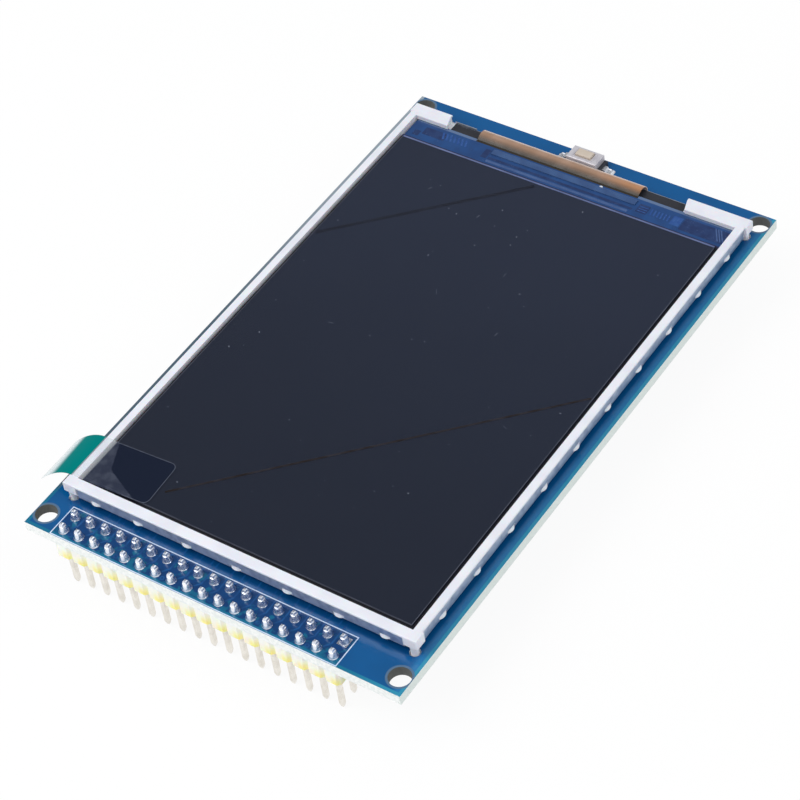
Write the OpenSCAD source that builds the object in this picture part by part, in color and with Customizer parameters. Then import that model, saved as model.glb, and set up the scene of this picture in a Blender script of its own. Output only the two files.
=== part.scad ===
// Colour TFT display module: a bare display in a moulded frame on a carrier board, with a two-row
// pin header under one short edge, a reset switch behind the display and a card socket underneath.
// All sizes are in millimetres. The origin is the centre of the four mounting holes on the board's
// underside; +Z points up through the display, +Y from the header towards the reset switch.

/* [Board] */
// Thickness of the carrier board
board_t = 1.6; // [1.2:0.1:2]
// Board left uncovered beside the display's left edge
left_strip = 2.6; // [2:0.1:6]
// Board left uncovered beside the display's right edge
right_strip = 1.6; // [1.4:0.1:6]
// Board left uncovered in front of the display, under the header
front_strip = 6.15; // [6:0.05:9]
// Board left uncovered behind the display
back_strip = 4.35; // [4.3:0.05:8]
// Diameter of the mounting holes
hole_d = 3.1; // [2.4:0.1:3.2]
// Hole centre to the board's side edge
hole_side = 1.7; // [1.7:0.05:2.2]
// Hole centre to the board's front edge
hole_front = 2.6; // [2.6:0.05:3]
// Hole centre to the board's back edge
hole_back = 1.9; // [1.8:0.05:2.6]

/* [Header] */
// Pins in each of the two rows
header_cols = 18; // [8:1:18]
// Distance between neighbouring pins
pitch = 2.54; // [2:0.01:2.54]
// Side of the square pins
pin_w = 0.64; // [0.5:0.02:0.7]
// Free length of the pins below their housing
pin_free = 6; // [5:0.5:12]
// Height of the pins above the board
pin_top = 1.5; // [1.3:0.1:2]
// Height of the header's housing
housing_h = 2.54; // [2:0.02:3]
// Depth of the snap-off notches between the housing's cells
notch = 0.45; // [0.2:0.05:0.6]
// Header centre from the board's centre line
header_shift = -2.6; // [-3:0.1:1]
// Diameter of the board's pin holes
pin_hole_d = 1.05; // [1.02:0.01:1.2]
// Diameter of a solder joint at its foot
solder_d = 1.45; // [1.4:0.05:1.8]
// Height of a solder joint
solder_h = 0.95; // [0.6:0.05:1.2]

/* [Display frame] */
// Width of the display's moulded frame
module_w = 55.5; // [54:0.5:60]
// Length of the display's moulded frame
module_l = 85; // [80:0.5:92]
// Thickness of the display, tray to frame top
module_t = 2.35; // [2.3:0.05:3.2]
// Height of the foam tape that holds the display off the board
tape_t = 0.65; // [0.4:0.05:1]
// Width of the frame's side rims
side_rim = 1.15; // [1:0.05:1.6]
// Width of the frame's front rim
front_rim = 1.55; // [1.3:0.05:2.2]
// Thickness of the frame's top flange
flange_t = 0.3; // [0.25:0.05:0.5]
// Radius of the frame's outer top edges
frame_r = 0.15; // [0.05:0.01:0.2]
// Width of the shoulder that carries the glass
shoulder = 0.75; // [0.5:0.05:1]
// Length of the left back arm
left_arm = 6; // [3:0.5:10]
// Length of the right back arm
right_arm = 9.8; // [3:0.5:11]
// Width of the back arms below their lip
arm_w = 2; // [1.8:0.05:2.4]
// Overhang of the arms' lip above the glass
arm_lip = 0.4; // [0.1:0.05:0.6]
// Side of the square corner posts
post_w = 1.8; // [1.6:0.05:2.2]
// Distance a corner post stands out past the frame's side
ear = 0.3; // [0.1:0.05:0.5]
// Diameter of the locating pegs
peg_d = 1.1; // [0.8:0.05:1.3]
// Depth that the pegs enter the board
peg_depth = 1.2; // [0.5:0.1:1.2]
// Distance between the snap bumps
snap_pitch = 8; // [7:0.25:9]
// Length of a snap bump at its foot
snap_l = 1.35; // [1:0.05:1.8]
// Distance a snap bump stands out of the tray
snap_out = 0.22; // [0.15:0.01:0.4]
// Height of a snap bump
snap_h = 0.45; // [0.4:0.05:0.6]

/* [Tray and light unit] */
// Sheet thickness of the metal tray
tray_t = 0.15; // [0.1:0.01:0.2]
// Distance the tray's walls sit back under the flange
tray_inset = 0.15; // [0.1:0.01:0.25]
// Outer radius of the bends between the tray's floor and walls
bend_r = 0.35; // [0.25:0.01:0.4]
// Length of the tray's raised lug beside the left arm
lug_l = 3.7; // [2:0.1:5]
// Height of that lug above the tray's back wall
lug_h = 0.35; // [0.2:0.01:0.4]
// Thickness of the reflector sheet
reflector_t = 0.08; // [0.05:0.01:0.1]
// Thickness of each diffuser and prism sheet
sheet_t = 0.07; // [0.05:0.01:0.08]
// Air gap between the light unit and the glass
air_gap = 0.14; // [0.08:0.01:0.2]
// Number of light-emitting diodes behind the light guide
led_count = 6; // [4:1:8]
// Length of a diode package
led_l = 3.8; // [3:0.1:4.2]
// Depth of a diode package
led_d = 0.8; // [0.6:0.05:0.9]

/* [Glass] */
// Thickness of each of the two glass plates
glass_t = 0.4; // [0.3:0.02:0.45]
// Clearance between the glass and the frame
glass_clear = 0.3; // [0.1:0.05:0.4]
// Length of the rear glass left uncovered as a ledge
ledge = 4.3; // [3.8:0.1:6]
// Thickness of a polarizer
polarizer_t = 0.15; // [0.1:0.01:0.2]
// Distance of the polarizers' edges from the glass edges
polarizer_inset = 0.35; // [0.2:0.05:0.8]
// Depth of the screen below the frame's top
screen_recess = 0.2; // [0.1:0.02:0.3]
// Thickness of the black rim tape under the glass
rim_tape_t = 0.05; // [0.04:0.01:0.1]
// Length of the driver chip
chip_l = 24; // [16:0.5:30]
// Width of the driver chip
chip_w = 1; // [0.8:0.05:1.4]
// Height of the driver chip above the ledge
chip_h = 0.28; // [0.2:0.02:0.35]
// Driver chip's centre from the display's centre line
chip_shift = -0.5; // [-3:0.1:3]
// Thickness of the sealing gel on the ledge
gel_t = 0.12; // [0.06:0.02:0.18]

/* [Flex and films] */
// Width of the flexible circuit
flex_w = 27; // [15:0.5:32]
// Flexible circuit's centre from the display's centre line
flex_shift = -2.5; // [-4:0.1:2]
// Thickness of the flexible circuit
flex_t = 0.12; // [0.08:0.01:0.15]
// Length of the flexible circuit bonded to the ledge
flex_bond = 0.6; // [0.5:0.05:0.8]
// Distance the flexible circuit bulges past the frame's back
flex_reach = 0.3; // [0.2:0.02:0.4]
// Length of the flexible circuit's tail soldered under the display
flex_tail = 9; // [5:0.5:14]
// Thickness of the protective film
film_t = 0.05; // [0.04:0.01:0.08]
// Width of the pull tab along the screen's edge
tab_w = 7.6; // [5:0.2:14]
// Distance of the pull tab from the frame's front rim
tab_front = 0.1; // [0.1:0.1:20]
// Angle the tab is stuck askew, in degrees
tab_turn = 3; // [0:0.5:4]
// Length of the pull tab's sticker on the screen
tab_hold = 11.2; // [5:0.2:20]
// Distance the pull tab stands out past the frame
tab_out = 5.8; // [5:0.2:8]
// Thickness of the pull tab
tab_t = 0.07; // [0.05:0.01:0.1]
// Corner radius of the pull tab's sticker
tab_r = 0.9; // [0.3:0.1:1.5]

/* [Reset switch] */
// Width of the switch base
switch_w = 6; // [5.6:0.1:7]
// Width of the switch's cover
cover_w = 4.9; // [4.2:0.1:5.2]
// Depth of the switch's cover
switch_d = 2.6; // [2.5:0.05:2.8]
// Height of the cover's top above the board
switch_h = 1.95; // [1.85:0.05:2.4]
// Height of the plunger's top above the cover
plunger_up = 0.4; // [0.35:0.05:1]
// Width of the plunger
plunger_w = 2.5; // [2:0.1:3]
// Depth of the plunger
plunger_d = 1.3; // [1:0.05:1.4]
// Travel of the plunger
travel = 0.25; // [0.15:0.01:0.3]
// Running clearance round the plunger
plunger_clear = 0.06; // [0.04:0.01:0.1]
// Reach of the switch's legs past its body
leg_reach = 1.3; // [1:0.1:2]

/* [Underside parts] */
// Width of the card socket
socket_w = 14; // [13.4:0.1:16]
// Length of the card socket
socket_l = 15; // [14:0.1:17]
// Height of the card socket
socket_h = 1.9; // [1.7:0.05:2.4]
// Card socket's centre from the board's centre line
socket_shift = -3; // [-10:0.5:10]
// Width of the card slot
card_w = 11.2; // [11.2:0.1:12]
// Length of each bus buffer's body
buffer_l = 12.5; // [10:0.1:12.5]
// Width of each bus buffer's body
buffer_w = 6.1; // [4.4:0.1:6.2]
// Height of each bus buffer's body
buffer_h = 1; // [0.9:0.05:1.4]
// Legs on each side of a bus buffer
buffer_legs = 24; // [8:1:24]
// Distance between the legs of a bus buffer
buffer_pitch = 0.5; // [0.35:0.01:0.5]
// Length of the voltage regulator's body
regulator_l = 6.5; // [6:0.1:7]
// Width of the voltage regulator's body
regulator_w = 3.5; // [3.3:0.1:3.7]
// Height of the voltage regulator's body
regulator_h = 1.6; // [1.5:0.05:1.8]
// Length of a chip capacitor or resistor
chip_part_l = 1.6; // [1:0.1:2]
// Width of a chip capacitor or resistor
chip_part_w = 0.8; // [0.5:0.05:1.2]

/* [Hidden] */
$fn = 48;

// Board and holes
board_w = left_strip + module_w + right_strip;
board_l = front_strip + module_l + back_strip;
hole_x = board_w / 2 - hole_side;
hole_y = (board_l - hole_front - hole_back) / 2;
board_y0 = -hole_y - hole_front;
board_y1 = hole_y + hole_back;
top = board_t;

// Display outline: left, right, front and back faces, and its centre line
mx0 = -board_w / 2 + left_strip;
mx1 = mx0 + module_w;
my0 = board_y0 + front_strip;
my1 = my0 + module_l;
mxc = (mx0 + mx1) / 2;
myc = (my0 + my1) / 2;

// Levels of the display's layers, from the board up to the tray and from the frame's top down
z_tray = top + tape_t;
z_top = z_tray + module_t;
z_film = z_top - screen_recess;
z_pol = z_film - film_t;
z_front_glass = z_pol - polarizer_t;
z_mid = z_front_glass - glass_t;
z_rear_glass = z_mid - glass_t;
z_shoulder = z_rear_glass - rim_tape_t;
z_rear_pol = z_rear_glass - polarizer_t;
z_sheets = z_rear_pol - air_gap;
z_floor = z_tray + tray_t;
z_guide = z_floor + reflector_t;
guide_t = z_sheets - 3 * sheet_t - z_guide;

// Frame: the flange covers the tray's walls, and the frame's own walls stand inside them
body_inset = tray_inset + tray_t;
z_flange = z_top - flange_t;
pocket_x0 = mx0 + side_rim;
pocket_x1 = mx1 - side_rim;
pocket_y0 = my0 + front_rim;
pocket_y1 = my1 - arm_w;
well_x0 = pocket_x0 + shoulder;
well_x1 = pocket_x1 - shoulder;
well_y0 = pocket_y0 + shoulder;
well_y1 = pocket_y1 - shoulder;
lip_gap = 0.12;
z_lip = z_mid + lip_gap;
post_clear = 0.1;
peg_inset = 0.6;
peg_clear = 0.2;
taper_h = 0.75;
end_snap = 4.75;
z_snap = z_floor + 0.15;
snap_r = (pow(snap_l / 2, 2) + snap_out * snap_out) / (2 * snap_out);
snap_root = 2 * sqrt(snap_r * snap_r - pow(snap_r - snap_out - tray_t, 2));
window_clear = 0.05;
lug_gap = 0.6;

// Light unit: sheets fill the well up to the diodes
sheet_clear = 0.1;
led_room = led_d + 2 * sheet_clear;
guide_y1 = well_y1 - led_room;
led_pitch = (well_x1 - well_x0) / led_count;
strip_t = 0.1;

// Glass
glass_x0 = pocket_x0 + glass_clear;
glass_x1 = pocket_x1 - glass_clear;
glass_y0 = pocket_y0 + glass_clear;
glass_y1 = pocket_y1 - lip_gap;
ledge_y = glass_y1 - ledge;
flex_front = glass_y1 - flex_bond;
chip_gap = 0.45;
chip_y1 = flex_front - chip_gap;

// Flexible circuit: rises off the ledge, rolls round the display's back and returns under it
flex_x0 = mxc + flex_shift - flex_w / 2;
flex_lift = 0.5;
flex_flat = 0.42;
flex_crest_y = glass_y1 + 0.97;
flex_crest_z = z_mid + flex_t / 2 + flex_lift;
flex_foot_z = top + flex_t / 2;
flex_back = my1 + flex_reach - flex_t / 2;
flex_mid_z = (flex_crest_z + flex_foot_z) / 2;
flex_rise = [for (i = [0:6]) let (u = i / 6)
    [flex_front + flex_flat + (flex_crest_y - flex_front - flex_flat) * u,
     z_mid + flex_t / 2 + flex_lift * sin(90 * u)]];
// The roll is an ellipse above its middle and squarer below it, clear of the tray's edge
flex_roll = [for (a = [9:9:180]) let (low = a > 90, reach = flex_back - flex_crest_y,
                                      rise = flex_crest_z - flex_mid_z)
    [flex_crest_y + reach * pow(sin(a), low ? 0.5 : 1),
     flex_mid_z + rise * sign(cos(a)) * pow(abs(cos(a)), low ? 0.75 : 1)]];
flex_path = concat([[flex_front, z_mid + flex_t / 2]], flex_rise, flex_roll,
    [[my1 - flex_tail, flex_foot_z]]);

// Back tape between the arms, over the frame's back wall
back_tape_t = 0.08;

// Pull tab: along the film, up over the frame's rim, then drooping past it
tab_y0 = pocket_y0 + tab_front;
tab_film_z = z_film + tab_t / 2;
tab_rim_z = z_top + tab_t / 2;
tab_ramp = 0.5;
tab_lift = 0.12;
tab_drop = 3.55;
tab_droop = [for (i = [1:12]) let (u = i / 12)
    [mx0 - ear - (tab_out - ear) * u, tab_rim_z - tab_drop * pow(u, 1.65)]];
tab_path = concat(
    [[pocket_x0 + tab_hold + 1, tab_film_z], [pocket_x0 + glass_clear + tab_ramp, tab_film_z],
     [pocket_x0 + tab_lift, tab_rim_z], [mx0 - ear, tab_rim_z]],
    tab_droop);

// Reset switch
switch_gap = 0.57;
switch_x = mxc - 0.5;
switch_y = my1 + flex_reach + switch_gap + switch_d / 2;
base_h = 1.35;
skirt_h = 0.5;
skirt_z = top + base_h - skirt_h;
cover_r = 0.2;
cover_t = 0.15;
dome_z = top + 0.45;
dome_r = 0.95;
dome_t = 0.06;
dome_up = 0.32;
flange_gap = 0.03;
plunger_flange = 0.4;
flange_out = 0.25;
well_clear = 0.1;
plunger_r = 0.15;
flange_z1 = top + switch_h - cover_t - flange_gap;
flange_z0 = flange_z1 - plunger_flange;
leg_t = 0.2;

// Underside
socket_x = socket_shift;
socket_setback = 0.4;
socket_y1 = board_y1 - socket_setback;
socket_y0 = socket_y1 - socket_l;
shell_t = 0.2;
contact_count = 8;
contact_pitch = socket_w / 12.7;
contact_t = 0.15;
contact_root = socket_l * 0.16;
contact_end = socket_l * 0.39;
slot_x = contact_pitch * 0.23;
foot_w = 1.2;
foot_out = 0.9;
foot_t = 0.25;
foot_setback = [2, 3.4];
latch_x = socket_w * 0.24;
latch_l = 4;
buffer_y = -hole_y + 15;
buffer_gap = 5.6;
ic_standoff = 0.1;
ic_leg_t = 0.15;
regulator_x = -board_w / 2 + 7.5;
regulator_y = buffer_y;
chip_part_h = chip_part_w * 0.75;
cap_t = chip_part_l * 0.16;
// Places of the chip capacitors and resistors: columns of parts across the board
cap_spots = [for (i = [0:5]) [-board_w / 2 + 12 + i * 7, buffer_y + 7.5]];
res_spots = [for (i = [0:7]) [-10 + i * 3.2, socket_y0 - 4]];

// A box from its lowest corner to its highest
module span(a, b) {
    translate(a) cube(b - a);
}

// A flat plate between two corners, at a level and with a thickness
module plate(x0, y0, x1, y1, z, t) {
    span([x0, y0, z], [x1, y1, z + t]);
}

// Runs its children at each header pin
module at_pins() {
    for (i = [0:header_cols - 1], r = [0, 1])
        translate([header_shift + (i - (header_cols - 1) / 2) * pitch,
                   -hole_y + (r - 0.5) * pitch, 0]) children();
}

// Runs its children at each of the display's corner pegs; s is the corner's sign in X and Y
module at_pegs() {
    for (sx = [-1, 1], sy = [-1, 1])
        translate([mxc + sx * (module_w / 2 - peg_inset), myc + sy * (module_l / 2 - peg_inset), 0])
            children();
}

// A strip of constant thickness that follows a path in a plane, as a closed outline
function unit(v) = v / norm(v);
function side_at(path, i) = let (
    a = path[max(i - 1, 0)], b = path[min(i + 1, len(path) - 1)], d = unit(b - a)) [-d[1], d[0]];
function ribbon(path, t) = concat(
    [for (i = [0:len(path) - 1]) path[i] + side_at(path, i) * t / 2],
    [for (i = [len(path) - 1:-1:0]) path[i] - side_at(path, i) * t / 2]);

// A gull-wing leg that leaves a body at height h, runs out and stands on the level z = 0
module gull_leg(h, out, foot, w, t) {
    rotate([90, 0, 0]) linear_extrude(w, center = true) polygon([
        [0, h], [out - foot - t, h], [out - foot, t], [out, t], [out, 0],
        [out - foot - t, 0], [out - foot - 2 * t, h - t], [0, h - t]]);
}

module circuit_board() {
    color("#15568f") difference() {
        plate(-board_w / 2, board_y0, board_w / 2, board_y1, 0, board_t);
        for (x = [-hole_x, hole_x], y = [-hole_y, hole_y])
            translate([x, y, -1]) cylinder(d = hole_d, h = board_t + 2);
        at_pegs() translate([0, 0, -1]) cylinder(d = peg_d + 2 * peg_clear, h = board_t + 2);
        at_pins() translate([0, 0, -1]) cylinder(d = pin_hole_d, h = board_t + 2, $fn = 24);
    }
}

// One strip of square cells with notched corners, each holding two pins
module header_housing() {
    half = pitch / 2;
    // Outline of the notched cells along the strip: one side walked forward, the other back
    outline = concat(
        [for (i = [0:header_cols - 1], p = [[0, -pitch + notch], [notch, -pitch], [pitch - notch, -pitch]])
            [i * pitch + p[0], p[1]]],
        [[header_cols * pitch, -pitch + notch]],
        [for (i = [header_cols - 1:-1:0], p = [[pitch, pitch - notch], [pitch - notch, pitch], [notch, pitch]])
            [i * pitch + p[0], p[1]]],
        [[0, pitch - notch]]);
    color("#f3e98a") difference() {
        translate([header_shift - header_cols * half, -hole_y, -housing_h])
            linear_extrude(housing_h) polygon(outline);
        at_pins() span([-pin_w / 2, -pin_w / 2, -housing_h - 1], [pin_w / 2, pin_w / 2, 1]);
    }
}

module pin_profile(low, high) {
    tip = 0.6;
    nose = pin_w * 0.28;
    cheek = pin_w * 0.38;
    crown = pin_w * 0.2;
    shoulders = pin_top - solder_h;
    polygon([[-nose, low], [nose, low], [pin_w / 2, low + tip], [pin_w / 2, high - shoulders],
             [cheek, high - shoulders / 4], [crown, high], [-crown, high], [-cheek, high - shoulders / 4],
             [-pin_w / 2, high - shoulders], [-pin_w / 2, low + tip]]);
}

module header_pins() {
    low = -housing_h - pin_free;
    high = top + pin_top;
    color("#b9b6ae") at_pins() intersection() {
        rotate([90, 0, 0]) linear_extrude(pin_w, center = true) pin_profile(low, high);
        rotate([90, 0, 90]) linear_extrude(pin_w, center = true) pin_profile(low, high);
    }
}

// Slightly hollow cones of solder round the pins on the board's top
module header_solder() {
    neck = pin_w * 0.75;
    foot = solder_d / 2;
    steps = 5;
    color("#d8dadc") at_pins() translate([0, 0, top]) difference() {
        rotate_extrude($fn = 24) polygon(concat([[0, 0]],
            [for (i = [0:steps]) let (u = i / steps)
                [foot - (foot - neck) * pow(u, 0.85), solder_h * pow(u, 1.25)]],
            [[0, solder_h]]));
        span([-pin_w / 2, -pin_w / 2, -1], [pin_w / 2, pin_w / 2, solder_h + 1]);
    }
}

// Two foam strips between the board and the tray, beside the flexible circuit's tail
module mounting_tape() {
    strip_w = 6;
    room = 4.5;
    color("#3a3a3c") for (x = [mx0 + room, mx1 - room - strip_w])
        plate(x, my0 + 6, x + strip_w, my1 - flex_tail - 2, top, tape_t);
}

// A box inside the display's outline by an inset, its lower edges rounded: one section runs
// across and one along, and the box is what both share
module bent_box(in, z0, z1, r) {
    module section(half) {
        translate([-half, z0 + r]) square([2 * half, z1 - z0 - r]);
        translate([-half + r, z0]) square([2 * (half - r), z1 - z0]);
        for (s = [-1, 1]) translate([s * (half - r), z0 + r]) circle(r, $fn = 32);
    }
    intersection() {
        translate([mxc, my1 - in, 0]) rotate([90, 0, 0])
            linear_extrude(module_l - 2 * in) section(module_w / 2 - in);
        translate([mx0 + in, myc, 0]) rotate([90, 0, 90])
            linear_extrude(module_w - 2 * in) section(module_l / 2 - in);
    }
}

// A block with its upper edges rounded, made the same way
module soft_block(x0, y0, x1, y1, z0, z1, r) {
    module section(half) {
        translate([-half, z0]) square([2 * half, z1 - z0 - r]);
        translate([-half + r, z0]) square([2 * (half - r), z1 - z0]);
        for (s = [-1, 1]) translate([s * (half - r), z1 - r]) circle(r, $fn = 32);
    }
    intersection() {
        translate([(x0 + x1) / 2, y1, 0]) rotate([90, 0, 0]) linear_extrude(y1 - y0) section((x1 - x0) / 2);
        translate([x0, (y0 + y1) / 2, 0]) rotate([90, 0, 90]) linear_extrude(x1 - x0) section((y1 - y0) / 2);
    }
}

// Stamped tray: a floor and four walls with windows for the frame's snaps, open at the corners
module metal_tray() {
    in = tray_inset;
    window_l = snap_root + 2 * window_clear;
    window_h = snap_h + 2 * window_clear;
    z_window = z_snap - window_clear;
    corner = post_w + post_clear;
    lug_x0 = mx0 + left_arm + lug_gap;
    color("#8f98a3") difference() {
        bent_box(in, z_tray, z_flange, bend_r);
        bent_box(body_inset, z_floor, z_top, bend_r - tray_t);
        for (x = [mx0 - ear, mx1 - corner], y = [my0 - ear, my1 - corner])
            plate(x, y, x + corner + ear, y + corner + ear, z_tray - 1, module_t + 2);
        // The back wall ends below the flexible circuit, but for a lug beside the left arm
        plate(mx0, my1 - corner, mx1, my1 + 1, z_shoulder + lug_h, module_t);
        plate(mx0, my1 - corner, lug_x0, my1 + 1, z_shoulder, module_t);
        plate(lug_x0 + lug_l, my1 - corner, mx1, my1 + 1, z_shoulder, module_t);
        for (p = front_snaps()) plate(p - window_l / 2, my0 - 1, p + window_l / 2, my0 + 1, z_window, window_h);
        for (p = side_snaps()) {
            plate(mx0 - 1, p - window_l / 2, mx0 + 1, p + window_l / 2, z_window, window_h);
            plate(mx1 - 1, p - window_l / 2, mx1 + 1, p + window_l / 2, z_window, window_h);
        }
    }
}

// Places of the snap bumps along the front edge and along each side
function snap_steps(length) = floor((length / 2 - end_snap - snap_pitch * 0.6) / snap_pitch);
function front_snaps() = let (n = snap_steps(module_w), end = module_w / 2 - end_snap) concat(
    [mxc - end], [for (i = [-n:n]) mxc + i * snap_pitch], [mxc + end]);
function side_snaps() = let (n = floor((module_l - 2 * end_snap) / snap_pitch)) [
    for (i = [0:n]) myc + (i - n / 2) * snap_pitch];

// A half-moon bump with a flat foot, standing out through the tray; the frame's face is y = 0
module snap_bump() {
    intersection() {
        translate([0, snap_r - snap_out - tray_t, 0])
            cylinder(r1 = snap_r, r2 = snap_r - snap_out, h = snap_h);
        span([-snap_root, -snap_out - tray_t, 0], [snap_root, tray_t, snap_h]);
    }
}

// Moulded frame: flange, inner walls, corner posts with pegs, two back arms and the snap bumps
module mould_frame() {
    color("#eceef2") difference() {
        union() {
            // Walls inside the tray, and the flange over it
            bent_box(body_inset, z_floor, z_flange, bend_r - tray_t);
            soft_block(mx0, my0, mx1, my1, z_flange, z_top, frame_r);
            intersection() {
                for (sx = [0, 1], sy = [0, 1]) corner_post(sx, sy);
                soft_block(mx0 - ear, my0, mx1 + ear, my1, 0, z_top, frame_r);
            }
            for (p = front_snaps()) translate([p, my0 + body_inset, z_snap]) snap_bump();
            for (p = side_snaps()) {
                translate([mx0 + body_inset, p, z_snap]) rotate([0, 0, -90]) snap_bump();
                translate([mx1 - body_inset, p, z_snap]) rotate([0, 0, 90]) snap_bump();
            }
        }
        // Pocket for the glass and, below the shoulder, the well of the light unit
        plate(pocket_x0, pocket_y0, pocket_x1, pocket_y1, z_shoulder, module_t);
        plate(well_x0, well_y0, well_x1, well_y1, z_tray - 1, module_t);
        // The back is open above the shoulder between the arms
        translate([0, 0, z_shoulder]) linear_extrude(module_t) back_opening();
    }
    color("#eceef2") intersection() {
        plate(pocket_x0 - 0.01, pocket_y1 - arm_lip, pocket_x1 + 0.01, pocket_y1 + 0.01, z_lip, z_top - z_lip);
        translate([0, 0, z_lip]) linear_extrude(module_t) arm_outline();
    }
}

// The stretch between the arms' rounded ends, in plan
module back_opening() {
    x0 = mx0 + left_arm;
    x1 = mx1 - right_arm;
    polygon([[x0, my1 + 1], [x0, my1 - 0.5], [x0 + 0.6, pocket_y1 - arm_lip - 0.01],
             [x1 + 0.6, pocket_y1 - arm_lip - 0.01], [x1, my1 - 0.5], [x1, my1 + 1]]);
}

// Both arms in plan, as far forward as their lips
module arm_outline() {
    difference() {
        translate([mx0, pocket_y1 - arm_lip]) square([module_w, arm_w + arm_lip]);
        back_opening();
    }
}

// A square post at one corner, tapering to a round peg in the board
module corner_post(sx, sy) {
    x = sx == 0 ? mx0 - ear : mx1 - post_w;
    y = sy == 0 ? my0 : my1 - post_w;
    px = mxc + (2 * sx - 1) * (module_w / 2 - peg_inset);
    py = myc + (2 * sy - 1) * (module_l / 2 - peg_inset);
    z_taper = z_tray + taper_h;
    span([x, y, z_taper], [x + post_w + ear, y + post_w, z_top]);
    translate([px, py, z_tray]) cylinder(d1 = peg_d, d2 = 2 * peg_inset, h = taper_h);
    translate([px, py, top - peg_depth]) cylinder(d = peg_d, h = peg_depth + tape_t);
}

module reflector_sheet() {
    color("#f4f6f8") plate(well_x0 + sheet_clear, well_y0 + sheet_clear, well_x1 - sheet_clear,
        well_y1 - sheet_clear, z_floor, reflector_t);
}

// A sheet that fills the well in plan, up to the diodes
module light_sheet(z, t) {
    plate(well_x0 + sheet_clear, well_y0 + sheet_clear, well_x1 - sheet_clear, guide_y1, z, t);
}

module light_guide() {
    color("#dfe9ee") light_sheet(z_guide, guide_t);
}

module diffuser_sheet() {
    color("#f2f2ee") light_sheet(z_guide + guide_t, sheet_t);
}

module lower_prism_sheet() {
    color("#d9dde0") light_sheet(z_guide + guide_t + sheet_t, sheet_t);
}

module upper_prism_sheet() {
    color("#d9dde0") light_sheet(z_guide + guide_t + 2 * sheet_t, sheet_t);
}

// Side-firing diodes in a row against the light guide's edge
module backlight_leds() {
    color("#efe6b0") for (i = [0:led_count - 1])
        plate(well_x0 + (i + 0.5) * led_pitch - led_l / 2, guide_y1,
              well_x0 + (i + 0.5) * led_pitch + led_l / 2, guide_y1 + led_d, z_guide, guide_t);
}

module led_strip() {
    color("#c98a3c") plate(well_x0 + sheet_clear, guide_y1 + 0.01, well_x1 - sheet_clear,
        well_y1 - sheet_clear, z_guide + guide_t, strip_t);
}

// Black double-sided tape on the frame's shoulder, under the glass
module rim_tape() {
    color("#141517") difference() {
        plate(glass_x0, glass_y0, glass_x1, glass_y1, z_shoulder, rim_tape_t);
        plate(well_x0, well_y0, well_x1, well_y1, z_shoulder - 1, 2);
    }
}

module rear_polarizer() {
    color("#4a4f58") plate(well_x0 + sheet_clear, well_y0 + sheet_clear, well_x1 - sheet_clear,
        well_y1 - sheet_clear, z_rear_pol, polarizer_t);
}

module rear_glass() {
    color("#31508f") plate(glass_x0, glass_y0, glass_x1, glass_y1, z_rear_glass, glass_t);
}

module front_glass() {
    color("#2b303c") plate(glass_x0, glass_y0, glass_x1, ledge_y, z_mid, glass_t);
}

module front_polarizer() {
    color("#2c313d") plate(glass_x0 + polarizer_inset, glass_y0 + polarizer_inset,
        glass_x1 - polarizer_inset, ledge_y - polarizer_inset, z_front_glass, polarizer_t);
}

module protective_film() {
    color("#333846") plate(glass_x0 + polarizer_inset, glass_y0 + polarizer_inset,
        glass_x1 - polarizer_inset, ledge_y - polarizer_inset, z_pol, film_t);
}

module driver_chip() {
    color("#5874b8") plate(mxc + chip_shift - chip_l / 2, chip_y1 - chip_w,
        mxc + chip_shift + chip_l / 2, chip_y1, z_mid, chip_h);
}

// Blue gel that seals the ledge round the chip, from the front glass to the flexible circuit
module sealing_gel() {
    color("#2d4b96") difference() {
        plate(glass_x0, ledge_y, glass_x1, flex_front, z_mid, gel_t);
        plate(mxc + chip_shift - chip_l / 2, chip_y1 - chip_w, mxc + chip_shift + chip_l / 2,
              chip_y1, z_mid - 1, 2);
    }
}

// Flexible circuit, extruded across its width from the path of its fold
module display_flex() {
    color("#a5825f") translate([flex_x0, 0, 0]) rotate([90, 0, 90])
        linear_extrude(flex_w) polygon(ribbon(flex_path, flex_t));
}

// Black tape along the back wall between the arms, under the flexible circuit
module back_tape() {
    color("#17181a") plate(mx0 + left_arm + 0.7, glass_y1 + lip_gap, mx1 - right_arm - 0.1,
        my1 - body_inset, z_shoulder, back_tape_t);
}

// Pull tab: a strip along the path over the rim, with round corners on the screen
module pull_tab() {
    inner = tab_hold - glass_clear;
    outer = tab_out + side_rim + 1;
    color("#0b8a83") intersection() {
        translate([0, tab_y0 + 1.5 * tab_w, 0]) rotate([90, 0, 0])
            linear_extrude(2 * tab_w) polygon(ribbon(tab_path, tab_t));
        // Outline in plan, turned a little about the frame's rim
        translate([pocket_x0, tab_y0, z_top - 10]) rotate([0, 0, tab_turn]) linear_extrude(20) union() {
            translate([-outer, 0]) square([outer + inner - tab_r, tab_w]);
            translate([-outer, tab_r]) square([outer + inner, tab_w - 2 * tab_r]);
            for (y = [tab_r, tab_w - tab_r]) translate([inner - tab_r, y]) circle(tab_r);
        }
    }
}

// Switch base: a moulded block, longer than the cover over its middle, with a round seat for
// the dome and a square well above it
module switch_base() {
    well_w = plunger_w + 2 * (flange_out + well_clear);
    well_d = plunger_d + 2 * (flange_out + well_clear);
    color("#26272a") translate([switch_x, switch_y, 0]) difference() {
        union() {
            span([-switch_w / 2, -switch_d / 2, top], [switch_w / 2, switch_d / 2, skirt_z]);
            span([-cover_w / 2 + cover_t, -switch_d / 2 + cover_t, top],
                 [cover_w / 2 - cover_t, switch_d / 2 - cover_t, top + base_h]);
        }
        span([-well_w / 2, -well_d / 2, flange_z0 - travel - 0.08], [well_w / 2, well_d / 2, top + base_h + 1]);
        translate([0, 0, dome_z]) cylinder(r = dome_r + 0.03, h = base_h);
    }
}

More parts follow.
